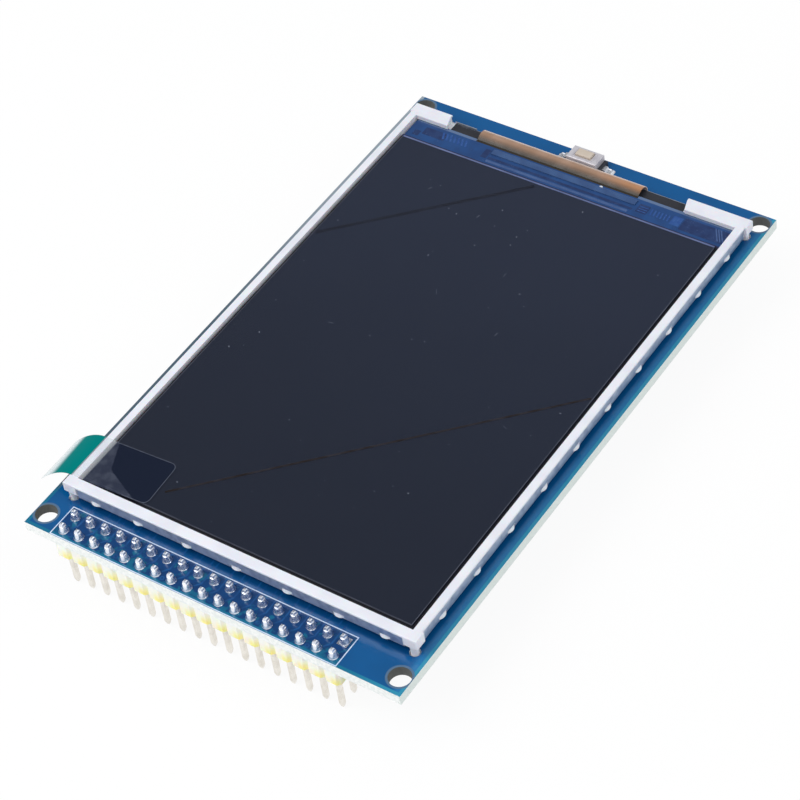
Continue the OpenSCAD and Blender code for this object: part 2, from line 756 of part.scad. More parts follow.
// Shallow snap dome under the plunger
module switch_dome() {
    r = (dome_r * dome_r + dome_up * dome_up) / (2 * dome_up);
    color("#c9ccd0") translate([switch_x, switch_y, dome_z]) intersection() {
        difference() {
            translate([0, 0, dome_up - r]) sphere(r = r);
            translate([0, 0, dome_up - r]) sphere(r = r - dome_t);
        }
        cylinder(r = dome_r + 0.02, h = dome_up + 1);
    }
}

// Plunger: a bar through the cover, a flange under it and a boss over the dome
module switch_plunger() {
    color("#cfc0ab") translate([switch_x, switch_y, 0]) {
        soft_block(-plunger_w / 2, -plunger_d / 2, plunger_w / 2, plunger_d / 2,
                   flange_z0, top + switch_h + plunger_up, plunger_r);
        span([-plunger_w / 2 - flange_out, -plunger_d / 2 - flange_out, flange_z0],
             [plunger_w / 2 + flange_out, plunger_d / 2 + flange_out, flange_z1]);
        translate([0, 0, dome_z + dome_up + 0.02]) cylinder(r = 0.4, h = flange_z0 - dome_z - dome_up);
    }
}

// Pressed cover over the base, with rounded upper edges and a slot for the plunger
module switch_cover() {
    hx = plunger_w / 2 + plunger_clear;
    hy = plunger_d / 2 + plunger_clear;
    color("#e2e1e8") translate([switch_x, switch_y, 0]) difference() {
        soft_block(-cover_w / 2, -switch_d / 2, cover_w / 2, switch_d / 2, skirt_z, top + switch_h, cover_r);
        span([-cover_w / 2 + cover_t, -switch_d / 2 + cover_t, skirt_z - 1],
             [cover_w / 2 - cover_t, switch_d / 2 - cover_t, top + switch_h - cover_t]);
        span([-hx, -hy, top], [hx, hy, top + switch_h + 1]);
    }
}

// One gull-wing leg at each end of the switch
module switch_legs() {
    leg_h = 0.7;
    leg_w = 1;
    leg_foot = 0.6;
    color("#d4d6d9") for (s = [-1, 1])
        translate([switch_x + s * switch_w / 2, switch_y, top]) rotate([0, 0, s < 0 ? 180 : 0])
            gull_leg(leg_h, leg_reach, leg_foot, leg_w, leg_t);
}

// Card socket, upside down under the board: a moulded base with side rails and a contact block
module card_socket_base() {
    rail = (socket_w - card_w) / 2;
    slot_h = 1;
    slot_y1 = socket_y0 + contact_end + 3;
    color("#222326") difference() {
        span([socket_x - socket_w / 2 + shell_t, socket_y0, -socket_h + shell_t],
             [socket_x + socket_w / 2 - shell_t, socket_y1 - 0.6, 0]);
        span([socket_x - card_w / 2, socket_y0 + 2.2, -socket_h - 1],
             [socket_x + card_w / 2, socket_y1 + 1, -socket_h + shell_t + slot_h]);
        // A slot for each contact's tail, and a window over its spring
        at_contacts() {
            span([-slot_x, socket_y0 - 1, -contact_t - 0.05], [slot_x, slot_y1, 1]);
            span([-slot_x, socket_y0 + contact_root, -socket_h], [slot_x, slot_y1, 1]);
        }
    }
}

module at_contacts() {
    for (i = [0:contact_count - 1])
        translate([socket_x + (i - (contact_count - 1) / 2) * contact_pitch, 0, 0]) children();
}

// Folded steel shell over the socket, open at the mouth, with four solder feet
module card_socket_shell() {
    x0 = socket_x - socket_w / 2;
    x1 = socket_x + socket_w / 2;
    color("#b4b8bd") {
        difference() {
            span([x0, socket_y0 + 1.4, -socket_h], [x1, socket_y1, -foot_t]);
            span([x0 + shell_t, socket_y0 - 1, -socket_h + shell_t], [x1 - shell_t, socket_y1 + 1, 1]);
            // Finger notch at the mouth and the latch windows
            translate([socket_x, socket_y1, -socket_h - 1]) cylinder(d = 5, h = 2);
            for (s = [-1, 1]) translate([socket_x + s * latch_x, socket_y0 + latch_l, -socket_h - 1])
                span([-foot_w / 2, 0, 0], [foot_w / 2, latch_l, 2]);
        }
        for (x = [x0 - foot_out, x1], y = [socket_y0 + foot_setback[0], socket_y1 - foot_setback[1]])
            span([x - 0.01, y, -foot_t], [x + foot_out + 0.01, y + foot_w, 0]);
        for (x = [x0, x1 - shell_t], y = [socket_y0 + foot_setback[0], socket_y1 - foot_setback[1]])
            span([x, y, -foot_t - 0.01], [x + shell_t, y + foot_w, 0]);
    }
}

// Sprung contacts, each with a solder tail at the socket's closed end
module card_socket_contacts() {
    dip = (socket_h - shell_t) * 0.6;
    spring = [[-foot_out, 0], [contact_root, 0], [contact_root + 0.4, -0.05],
              [contact_root + contact_end * 0.79, -dip * 0.93],
              [contact_root + contact_end * 0.89, -dip], [contact_root + contact_end, -dip * 0.8]];
    color("#d9b65c") at_contacts() rotate([90, 0, 90]) linear_extrude(2 * slot_x - 0.1, center = true)
        translate([socket_y0, -contact_t / 2]) polygon(ribbon(spring, contact_t));
}

// Centres of the two bus buffers
function buffer_xs() = [for (s = [-1, 1]) 1.5 + s * (buffer_l + buffer_gap) / 2];

module buffer_bodies() {
    color("#202124") for (x = buffer_xs())
        translate([x, buffer_y, -ic_standoff - buffer_h])
            span([-buffer_l / 2, -buffer_w / 2, 0], [buffer_l / 2, buffer_w / 2, buffer_h]);
}

module buffer_legs_group() {
    color("#c8cacd") for (x = buffer_xs(), s = [-1, 1], i = [0:buffer_legs - 1])
        translate([x + (i - (buffer_legs - 1) / 2) * buffer_pitch, buffer_y + s * buffer_w / 2, 0])
            rotate([0, 0, s * 90]) mirror([0, 0, 1])
                gull_leg(ic_standoff + buffer_h / 2, 1, 0.4, buffer_pitch * 0.45, ic_leg_t);
}

// Voltage regulator: a moulded body with a broad tab on one side and three legs on the other
module regulator_body() {
    color("#202124") translate([regulator_x, regulator_y, -ic_standoff - regulator_h])
        span([-regulator_w / 2, -regulator_l / 2, 0], [regulator_w / 2, regulator_l / 2, regulator_h]);
}

module regulator_legs() {
    h = ic_standoff + regulator_h / 2;
    color("#c8cacd") translate([regulator_x, regulator_y, 0]) mirror([0, 0, 1]) {
        translate([regulator_w / 2, 0, 0]) gull_leg(h, 1.75, 0.9, 3, 0.25);
        for (i = [-1:1]) translate([-regulator_w / 2, i * 2.3, 0]) rotate([0, 0, 180])
            gull_leg(h, 1.75, 0.9, 0.7, 0.25);
    }
}

// The body of a chip part between its end caps
module chip_part_body(spots, h) {
    for (p = spots) translate([p[0], p[1], -h])
        span([-chip_part_l / 2 + cap_t, -chip_part_w / 2, 0], [chip_part_l / 2 - cap_t, chip_part_w / 2, h]);
}

module chip_capacitors() {
    color("#b59b76") chip_part_body(cap_spots, chip_part_w);
}

module chip_resistors() {
    color("#1c1d20") chip_part_body(res_spots, chip_part_h);
}

module chip_end_caps() {
    color("#d4d6d9") for (set = [[cap_spots, chip_part_w], [res_spots, chip_part_h]], p = set[0], s = [0, 1])
        translate([p[0] - chip_part_l / 2 + s * (chip_part_l - cap_t), p[1], -set[1]])
            span([0, -chip_part_w / 2, 0], [cap_t, chip_part_w / 2, set[1]]);
}

circuit_board();
header_housing();
header_pins();
header_solder();
mounting_tape();
metal_tray();
mould_frame();
reflector_sheet();
light_guide();
diffuser_sheet();
lower_prism_sheet();
upper_prism_sheet();
backlight_leds();
led_strip();
rim_tape();
rear_polarizer();
rear_glass();
front_glass();
front_polarizer();
driver_chip();
sealing_gel();
display_flex();
back_tape();
protective_film();
pull_tab();
switch_base();
switch_dome();
switch_plunger();
switch_cover();
switch_legs();
card_socket_base();
card_socket_shell();
card_socket_contacts();
buffer_bodies();
buffer_legs_group();
regulator_body();
regulator_legs();
chip_capacitors();
chip_resistors();
chip_end_caps();
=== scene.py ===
"""Finishes for a taped-down TFT display module on its blue carrier board.

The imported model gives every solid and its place. This script gives each one a procedural finish,
adds the fine pieces that lie on them (printed lines, tracks, conductors, film edges, dust, solder),
and sets the camera, the floor and the light. Lengths are in millimetres unless a name says otherwise.
"""

import math

import bpy
import numpy as np
from bpy.props import FloatProperty, FloatVectorProperty, IntProperty, PointerProperty
from mathutils import Matrix, Vector


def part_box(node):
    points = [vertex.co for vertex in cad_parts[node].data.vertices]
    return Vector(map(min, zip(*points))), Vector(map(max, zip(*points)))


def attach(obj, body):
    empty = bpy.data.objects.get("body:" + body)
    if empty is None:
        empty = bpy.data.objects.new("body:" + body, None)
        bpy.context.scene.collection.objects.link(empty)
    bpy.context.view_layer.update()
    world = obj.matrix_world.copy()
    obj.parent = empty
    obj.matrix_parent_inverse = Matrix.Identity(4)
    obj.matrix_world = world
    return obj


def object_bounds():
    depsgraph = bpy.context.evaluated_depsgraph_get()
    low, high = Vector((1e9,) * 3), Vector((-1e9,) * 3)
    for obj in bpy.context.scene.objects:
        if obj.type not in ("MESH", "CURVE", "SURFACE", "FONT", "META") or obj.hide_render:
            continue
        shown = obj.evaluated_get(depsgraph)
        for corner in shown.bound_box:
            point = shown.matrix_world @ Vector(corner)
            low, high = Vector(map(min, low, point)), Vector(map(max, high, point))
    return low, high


bl_info = {
    "name": "Display Module Finishes",
    "version": (1, 0, 0),
    "blender": (4, 5, 0),
    "location": "3D View > Sidebar > Display Module",
    "description": "Finishes, fine pieces, camera and stage for a TFT display module",
    "category": "Object",
}

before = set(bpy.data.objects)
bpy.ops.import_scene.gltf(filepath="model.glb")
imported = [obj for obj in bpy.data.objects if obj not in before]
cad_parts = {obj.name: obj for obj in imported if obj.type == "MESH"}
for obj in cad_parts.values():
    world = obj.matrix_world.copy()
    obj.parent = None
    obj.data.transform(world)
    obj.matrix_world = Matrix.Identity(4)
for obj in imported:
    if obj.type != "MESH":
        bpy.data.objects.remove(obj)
CAD_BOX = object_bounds()
MM = 0.001
MODULE = "module"
PITCH = 2.54  # from pin to pin of the header
TRACK_H = 0.012  # height of a track under the mask
PRINT_H = 0.03  # height of printed ink and tinned pads


def box(node):
    """Lowest and highest corner of a CAD node at rest, as two arrays in millimetres."""
    low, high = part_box(node)
    return np.array(low) / MM, np.array(high) / MM


BOARD = box("circuit_board")
HOUSING = box("header_housing")
PINS = box("header_pins")
MOULDING = box("mould_frame")
TRAY = box("metal_tray")
REAR_GLASS = box("rear_glass")
FILM = box("protective_film")
CHIP = box("driver_chip")
FLEX = box("display_flex")
COVER = box("switch_cover")
LEGS = box("switch_legs")
BASE = box("switch_base")
SOCKET = box("card_socket_shell")
GEL = box("sealing_gel")
BUFFERS = box("buffer_bodies")
BUFFER_LEGS = box("buffer_legs_group")
REGULATOR = box("regulator_body")
BOARD_TOP = BOARD[1][2]
BOARD_UNDER = BOARD[0][2]
EAR = 0.3  # the frame's corner posts stand this far outside its rim
HOLE_X = 28.15  # the mounting holes' places either side of the board's middle, and their radius
HOLE_Y = 45.5
HOLE_R = 1.55


# ---- Colours and materials -----------------------------------------------------------------


def linear(red, green, blue):
    """A colour given in 0 to 255 display values, as linear red, green, blue and alpha."""
    c = np.array([red, green, blue]) / 255.0
    c = np.where(c <= 0.04045, c / 12.92, ((c + 0.055) / 1.055) ** 2.4)
    return (*c.tolist(), 1.0)


SOCKETS = {
    "ior": "IOR",
    "level": "Specular IOR Level",
    "transmission": "Transmission Weight",
    "subsurface": "Subsurface Weight",
    "subsurface_scale": "Subsurface Scale",
    "alpha": "Alpha",
}


class Nodes:
    """Makes and links the nodes of one shader tree."""

    def __init__(self, tree):
        self.tree = tree

    def node(self, kind, **settings):
        made = self.tree.nodes.new("ShaderNode" + kind)
        for key, value in settings.items():
            setattr(made, key, value)
        return made

    def feed(self, socket, source):
        """Links source to socket, or sets the socket where source is a plain value."""
        if isinstance(source, bpy.types.NodeSocket):
            self.tree.links.new(source, socket)
        else:
            socket.default_value = source

    def math(self, operation, *values):
        """One Math node on sockets and plain values."""
        made = self.node("Math", operation=operation)
        for socket, value in zip(made.inputs, values):
            self.feed(socket, value)
        return made.outputs[0]

    def product(self, first, second):
        """Two values multiplied."""
        return self.math("MULTIPLY", first, second)

    def ease(self, value, start, end, low=0.0, high=1.0):
        """Smooth change from low to high as value goes from start to end."""
        made = self.node("MapRange", interpolation_type="SMOOTHSTEP")
        for socket, source in zip(made.inputs, (value, start, end, low, high)):
            self.feed(socket, source)
        return made.outputs["Result"]

    def mixed(self, share, first, second):
        """Plain value going from first to second as share goes from 0 to 1."""
        made = self.node("Mix", data_type="FLOAT")
        self.feed(made.inputs[0], share)
        self.feed(made.inputs[2], first)
        self.feed(made.inputs[3], second)
        return made.outputs[0]

    def separate(self, source):
        """A vector's three values."""
        split = self.node("SeparateXYZ")
        self.feed(split.inputs[0], source)
        return tuple(split.outputs)

    def sight(self):
        """1 for rays that see a surface directly, in a mirror or through glass, and 0 for light's own."""
        path = self.node("LightPath").outputs
        mirrored = self.math("MAXIMUM", path["Is Camera Ray"], path["Is Glossy Ray"])
        return self.math("MAXIMUM", mirrored, path["Is Transmission Ray"])


class Finish(Nodes):
    """One Principled material whose patterns are worked out from Object coordinates in millimetres."""

    def __init__(self, name, colour, roughness, metallic=0.0, **sockets):
        self.material = bpy.data.materials.new(name)
        self.material.use_nodes = True
        super().__init__(self.material.node_tree)
        self.tree.nodes.clear()
        self.shader = self.node("BsdfPrincipled")
        self.output = self.node("OutputMaterial")
        self.feed(self.output.inputs["Surface"], self.shader.outputs["BSDF"])
        self.shader.inputs["Base Color"].default_value = colour
        self.shader.inputs["Roughness"].default_value = roughness
        self.shader.inputs["Metallic"].default_value = metallic
        for key, value in sockets.items():
            self.shader.inputs[SOCKETS[key]].default_value = value
        self.material.diffuse_color = colour

    def place(self, scale=(1.0, 1.0, 1.0), centre=(0.0, 0.0, 0.0)):
        """Object coordinates in millimetres from centre, stretched by scale."""
        mapping = self.node("Mapping", vector_type="POINT")
        mapping.inputs["Scale"].default_value = [s / MM for s in scale]
        mapping.inputs["Location"].default_value = [-s * v for s, v in zip(scale, centre)]
        self.feed(mapping.inputs["Vector"], self.node("TexCoord").outputs["Object"])
        return mapping.outputs["Vector"]

    def noise(self, size, detail=2.0, stretch=(1.0, 1.0, 1.0)):
        """Soft noise whose lumps are about size millimetres across."""
        texture = self.node("TexNoise", noise_dimensions="3D")
        texture.inputs["Scale"].default_value = 1.0 / size
        texture.inputs["Detail"].default_value = detail
        self.feed(texture.inputs["Vector"], self.place(scale=stretch))
        return texture.outputs["Fac"]

    def waves(self, pitch, axis="X", crest=0.0):
        """Sine bands of one pitch along an axis, with a crest at a given place."""
        texture = self.node("TexWave", wave_type="BANDS", bands_direction=axis)
        texture.inputs["Scale"].default_value = math.tau / 20.0 / pitch
        centre = [crest - pitch / 4 if letter == axis else 0.0 for letter in "XYZ"]
        self.feed(texture.inputs["Vector"], self.place(centre=centre))
        return texture.outputs["Fac"]

    def past(self, value, mark, soft=0.06):
        """0 where value lies short of mark and 1 past it, changing over twice soft."""
        return self.ease(value, mark - soft, mark + soft)

    def cloud(self, size, low, high, detail=2.0):
        """Soft noise that goes smoothly from low to high."""
        return self.ease(self.noise(size, detail), 0.3, 0.7, low, high)

    def between(self, value, low, high, soft=0.05):
        """1 where value lies from low to high and 0 past them, changing over twice soft."""
        rise = self.past(value, low, soft)
        return self.product(rise, self.ease(value, high - soft, high + soft, 1.0, 0.0))

    def mix(self, share, first, second):
        """Colour going from first to second as share goes from 0 to 1."""
        made = self.node("Mix", data_type="RGBA")
        self.feed(made.inputs["Factor"], share)
        self.feed(made.inputs["A"], first)
        self.feed(made.inputs["B"], second)
        return made.outputs["Result"]

    def mottled(self, size, first, second, detail=3.0, end=0.7):
        """Colour in soft blotches about size millimetres across, from first to second."""
        return self.mix(self.ease(self.noise(size, detail), 0.35, end), first, second)

    def axes(self):
        """Object coordinates in millimetres, as three separate values."""
        return self.separate(self.place())

    def levelness(self):
        """1 on level faces and 0 on upright ones, from the surface's own normal."""
        return self.math("ABSOLUTE", self.separate(self.node("TexCoord").outputs["Normal"])[2])

    def paint(self, source):
        self.feed(self.shader.inputs["Base Color"], source)

    def polish(self, source):
        self.feed(self.shader.inputs["Roughness"], source)

    def bump(self, height, depth):
        """Relief of depth millimetres where height goes from 0 to 1."""
        made = self.node("Bump")
        made.inputs["Distance"].default_value = depth * MM
        made.inputs["Strength"].default_value = 1.0
        self.feed(made.inputs["Height"], height)
        self.feed(self.shader.inputs["Normal"], made.outputs["Normal"])


def moulded(name, colour, shade, roughness=0.4, grain=0.004, **sockets):
    """Moulded plastic: faint cloudiness, a fine erosion grain and small changes of gloss."""
    made = Finish(name, colour, roughness, **sockets)
    made.paint(made.mottled(4.0, colour, shade, detail=2.0))
    made.polish(made.cloud(0.5, roughness - 0.06, roughness + 0.08, detail=4.0))
    made.bump(made.noise(0.06, 3.0), grain)
    return made


def metal(name, colour, shade, roughness=0.25, along=(1.0, 1.0, 1.0), streak=0.15, depth=0.002,
          bare=1.0):
    """Metal with fine streaks along one way, cloudy tarnish and uneven gloss.

    bare is the share that shows bright metal, and the rest is a dull skin of the same colour.
    """
    made = Finish(name, colour, roughness, metallic=bare)
    made.paint(made.mottled(1.2, colour, shade, end=0.75))
    streaks = made.noise(streak, 3.0, stretch=along)
    made.polish(made.ease(streaks, 0.25, 0.75, roughness - 0.08, roughness + 0.12))
    made.bump(streaks, depth)
    return made


def flat_print(name, colour, shade, roughness=0.35, size=1.0, **sockets):
    """A thin printed, plated or stuck layer: cloudy between two colours, with uneven gloss."""
    made = Finish(name, colour, roughness, **sockets)
    made.paint(made.mottled(size, colour, shade, end=0.65))
    made.polish(made.cloud(size / 2, roughness - 0.05, roughness + 0.08))
    return made


def clear_sheet(name, colour, roughness=0.05, ior=1.45):
    """Clear or cloudy sheet held between others, with faint streaks in its gloss."""
    made = Finish(name, colour, roughness, transmission=1.0, ior=ior)
    made.polish(made.cloud(6.0, roughness, roughness + 0.08, detail=3.0))
    return made


def give(finish, *nodes):
    """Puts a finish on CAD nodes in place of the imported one."""
    for name in nodes:
        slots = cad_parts[name].data.materials
        slots.clear()
        slots.append(finish.material)


# ---- Surfaces ------------------------------------------------------------------------------


def grid_faces(rows, columns, round_rows=False, round_columns=False):
    """Quads of a rows by columns grid of points, joined end to end where a way goes round."""
    r = np.arange(rows if round_rows else rows - 1)
    c = np.arange(columns if round_columns else columns - 1)
    r, c = np.meshgrid(r, c, indexing="ij")
    r1, c1 = (r + 1) % rows, (c + 1) % columns
    corners = [r * columns + c, r1 * columns + c, r1 * columns + c1, r * columns + c1]
    return np.stack(corners, axis=-1).reshape(-1, 4)


def joined(parts):
    """Several (points, faces) as one."""
    starts = np.cumsum([0] + [len(points) for points, _ in parts[:-1]])
    points = np.concatenate([points for points, _ in parts])
    return points, np.concatenate([faces + start for (_, faces), start in zip(parts, starts)])


def add_piece(name, shape, finish, smooth=False):
    """Makes a mesh piece at the origin from (points in millimetres, faces) and rides it on the module."""
    points, faces = shape
    mesh = bpy.data.meshes.new(name)
    mesh.from_pydata((points * MM).tolist(), [], faces.tolist())
    mesh.validate()
    mesh.materials.append(finish.material)
    if smooth:
        mesh.shade_smooth()
    made = bpy.data.objects.new(name, mesh)
    bpy.context.scene.collection.objects.link(made)
    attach(made, MODULE)
    return made


def strip(path, width, low, high, closed=False):
    """A rectangular section, width by (high - low), carried along a flat path with mitred corners.

    At each point the two sides stand off along the mitre, the sum of the two neighbouring
    left-hand normals over one plus their dot product, so that the strip keeps its width.
    """
    p = np.array(path, float)
    step = np.diff(np.vstack([p, p[:1]]) if closed else p, axis=0)
    step /= np.linalg.norm(step, axis=1)[:, None]
    left = np.stack([-step[:, 1], step[:, 0]], axis=1)
    if closed:
        before, after = np.roll(left, 1, axis=0), left
    else:
        before, after = np.vstack([left[:1], left]), np.vstack([left, left[-1:]])
    mitre = (before + after) / (1 + np.sum(before * after, axis=1))[:, None]
    side = mitre * width / 2
    corners = [(p + side, low), (p + side, high), (p - side, high), (p - side, low)]
    rows = [np.column_stack([xy, np.full(len(p), z)]) for xy, z in corners]
    points = np.stack(rows, axis=1).reshape(-1, 3)
    faces = grid_faces(len(p), 4, round_rows=closed, round_columns=True)
    if not closed:
        last = 4 * (len(p) - 1)
        faces = np.vstack([faces, [[3, 2, 1, 0]], [[last, last + 1, last + 2, last + 3]]])
    return points, faces


def plate(low, high, start, end):
    """A flat bar that fills a rectangle from corner low to corner high, between two heights."""
    middle = (low[1] + high[1]) / 2
    return strip([(low[0], middle), (high[0], middle)], high[1] - low[1], start, end)


def stamp(shape, shifts):
    """Copies of a shape, one moved by each of several (x, y) shifts."""
    points, faces = shape
    shifts = np.pad(np.array(shifts, float), ((0, 0), (0, 1)))
    starts = len(points) * np.arange(len(shifts))
    return (points + shifts[:, None]).reshape(-1, 3), (faces + starts[:, None, None]).reshape(-1, 4)


def grains(spots, sizes, turns, stretch, low, height, sides=5):
    """Low cones of dust: each spot's foot is a small ellipse, and its tip stands over the middle.

    A foot point is the spot plus its size times cosine and sine of the point's angle, the cosine
    stretched, all turned by the grain's own angle.
    """
    around = np.arange(sides) * math.tau / sides
    x = sizes[:, None] * stretch[:, None] * np.cos(around)
    y = sizes[:, None] * np.sin(around)
    c, s = np.cos(turns)[:, None], np.sin(turns)[:, None]
    foot = np.stack([spots[:, :1] + x * c - y * s, spots[:, 1:] + x * s + y * c], axis=-1)
    foot = np.concatenate([foot, np.full(foot.shape[:2] + (1,), low)], axis=-1)
    tip = np.column_stack([spots, np.full(len(spots), low + height)])[:, None]
    points = np.concatenate([foot, tip], axis=1).reshape(-1, 3)
    start = (sides + 1) * np.arange(len(spots))[:, None]
    side = np.arange(sides)
    walls = np.stack([start + side, start + (side + 1) % sides, start + sides + 0 * side], axis=-1)
    shut = start[:, None] + np.stack([0 * side[1:-1], side[2:], side[1:-1]], axis=-1)
    return points, np.concatenate([walls.reshape(-1, 3), shut.reshape(-1, 3)])


def ring(centre, profile, sides=32):
    """A closed profile of (radius, height) points turned about a vertical line through centre."""
    turn = np.arange(sides) * math.tau / sides
    r, z = np.array(profile, float).T
    x = centre[0] + np.outer(np.cos(turn), r)
    y = centre[1] + np.outer(np.sin(turn), r)
    points = np.stack([x, y, np.broadcast_to(z, x.shape)], axis=-1).reshape(-1, 3)
    return points, grid_faces(sides, len(r), round_rows=True, round_columns=True)


def washer(centre, inner, outer, low, high, sides=32):
    """A flat ring with a softened outer edge."""
    soft = min(high - low, outer - inner) / 2
    profile = [(inner, low), (outer, low), (outer, high - soft), (outer - soft, high), (inner, high)]
    return ring(centre, profile, sides)


def skirt(low, high, spread, foot, top, sides=48, rings=7):
    """A concave solder fillet round an upright rectangular lead.

    Round the lead, a superellipse of power 4 stands in for its rectangle; from the top to the
    foot the outline grows by spread while the height falls with the square of what is left.
    """
    centre, half = (np.array(low) + high) / 2, (np.array(high) - low) / 2
    turn = np.arange(sides) * math.tau / sides
    out = np.linspace(0.0, 1.0, rings)
    reach_x = half[0] + spread * out
    reach_y = half[1] + spread * out
    cosine, sine = np.cos(turn), np.sin(turn)
    x = centre[0] + np.outer(np.sign(cosine) * np.sqrt(np.abs(cosine)), reach_x)
    y = centre[1] + np.outer(np.sign(sine) * np.sqrt(np.abs(sine)), reach_y)
    z = np.broadcast_to(foot + (top - foot) * (1 - out) ** 2, x.shape)
    wall = np.stack([x, y, z], axis=-1)
    shut = wall[:, :1].copy()
    shut[..., 2] = foot
    points = np.concatenate([wall, shut], axis=1).reshape(-1, 3)
    return points, grid_faces(sides, rings + 1, round_rows=True, round_columns=True)


def rectangle(low, high):
    """Corners of a flat rectangle, anticlockwise."""
    return [(low[0], low[1]), (high[0], low[1]), (high[0], high[1]), (low[0], high[1])]


def rounded(low, high, radius, steps=6):
    """Outline of a rectangle with round corners, anticlockwise."""
    corners = [(high[0] - radius, low[1] + radius, -90), (high[0] - radius, high[1] - radius, 0),
               (low[0] + radius, high[1] - radius, 90), (low[0] + radius, low[1] + radius, 180)]
    return [(x + radius * math.cos(a), y + radius * math.sin(a))
            for x, y, start in corners
            for a in np.radians(start + np.linspace(0, 90, steps))]


# ---- Sizes and colours that a user would change ------------------------------------------------


def length(name, default, text):
    """A size in millimetres, kept as a plain number so that the panel shows it as it is written."""
    return FloatProperty(name=name, description=text + ", in millimetres", default=default,
                         min=0.0, precision=3)


def colour(name, default, text):
    return FloatVectorProperty(name=name, description=text, default=default[:3],
                               subtype="COLOR", min=0.0, max=1.0)


def angle(name, default, text):
    return FloatProperty(name=name, description=text, default=math.radians(default),
                         subtype="ANGLE", unit="ROTATION")


class DisplayStage(bpy.types.PropertyGroup):
    """Where the camera stands and how the floor and lamps look"""

    azimuth: angle("Azimuth", 40.24, "Camera's turn round the module from its front towards its right")
    elevation: angle("Elevation", 45.93, "Camera's height above the horizon")
    roll: angle("Roll", -9.02, "Turn of the camera about its own line of sight")
    distance: length("Distance", 378.3, "Camera to the point it looks at")
    aim: FloatVectorProperty(name="Aim", description="Point that the camera looks at, in millimetres",
                             default=(2.06, -6.41, 1.6), size=3)
    lens: FloatProperty(name="Lens", description="Focal length on a 36 mm sensor", default=126.84,
                        min=10.0, unit="CAMERA")
    floor: colour("Floor", (0.93, 0.93, 0.93), "Colour of the floor")
    glow: FloatProperty(name="Floor glow", description="Share of plain white in the floor as it is seen",
                        default=0.93, min=0.0, max=1.0, subtype="FACTOR")
    sky: FloatProperty(name="Sky", description="Strength of the light from all round",
                       default=0.62, min=0.0)
    overhead: FloatProperty(name="Overhead", description="Strength of the dimmer sky overhead in gloss",
                            default=0.3, min=0.0)
    key: FloatProperty(name="Key lamp", description="Radiant power of the large lamp overhead",
                       default=2.4, min=0.0, subtype="POWER", unit="POWER")


class DisplayBoard(bpy.types.PropertyGroup):
    """Carrier board"""

    mask: colour("Solder mask", linear(8, 87, 146), "Mask over copper")
    deep: colour("Mask at the header", linear(6, 60, 114), "Mask between the header's pads")
    bare: colour("Mask over bare laminate", linear(14, 108, 142), "Mask where no copper lies under it")
    laminate: colour("Laminate", linear(250, 251, 249), "Sawn edge of the board")
    margin: length("Margin", 0.5, "Board's edge to the copper under the mask")
    ring: length("Hole ring", 0.3, "Width of the greyer ring round each mounting hole")
    print_width: length("Print width", 0.15, "Width of the printed lines")
    track_width: length("Track width", 0.26, "Width of the tracks at the header")


class DisplayScreen(bpy.types.PropertyGroup):
    """Glass, films and the pull tab"""

    dark: colour("Screen", linear(50, 58, 79), "Dark screen under the film")
    ledge: colour("Ledge", linear(36, 74, 128), "Glass ledge behind the screen")
    teal: colour("Tab", linear(0, 122, 119), "Green part of the pull tab")
    tab_turn: angle("Tab turn", 3.0, "Turn of the pull tab from square to the frame")
    tab_width: length("Tab width", 7.6, "Width of the pull tab")
    tab_hold: length("Tab hold", 10.9, "Length of the pull tab from the frame's pocket inwards")
    tab_corner: length("Tab corner", 0.9, "Radius of the pull tab's inner corners")
    specks: IntProperty(name="Dust specks", description="Number of specks of dust on the film",
                        default=80, min=0)
    seed: IntProperty(name="Seed", description="Start of the random numbers that scatter the dust",
                      default=7, min=0)


GROUPS = {"display_stage": DisplayStage, "display_board": DisplayBoard, "display_screen": DisplayScreen}


def settings(group):
    return getattr(bpy.context.scene, group)


def full(value):
    """A colour property with its alpha."""
    return (*value[:3], 1.0)


# ---- Stage ---------------------------------------------------------------------------------


class DISPLAY_OT_camera(bpy.types.Operator):
    """Puts the camera at its place"""

    bl_idname = "display.camera"
    bl_label = "Camera"

    def execute(self, context):
        stage = settings("display_stage")
        data = bpy.data.cameras.new("camera")
        data.sensor_width = 36.0
        data.lens = stage.lens
        data.clip_start = 0.01
        data.clip_end = 20.0
        camera = bpy.data.objects.new("camera", data)
        context.scene.collection.objects.link(camera)
        a, e, roll = stage.azimuth, stage.elevation, stage.roll
        back = Vector((math.sin(a) * math.cos(e), -math.cos(a) * math.cos(e), math.sin(e)))
        level = Vector((math.cos(a), math.sin(a), 0.0))
        right = level * math.cos(roll) + back.cross(level) * math.sin(roll)
        turned = Matrix((right, back.cross(right), back)).transposed().to_4x4()
        spot = (Vector(stage.aim) + back * stage.distance) * MM
        camera.matrix_world = Matrix.Translation(spot) @ turned
        context.scene.camera = camera
        return {"FINISHED"}


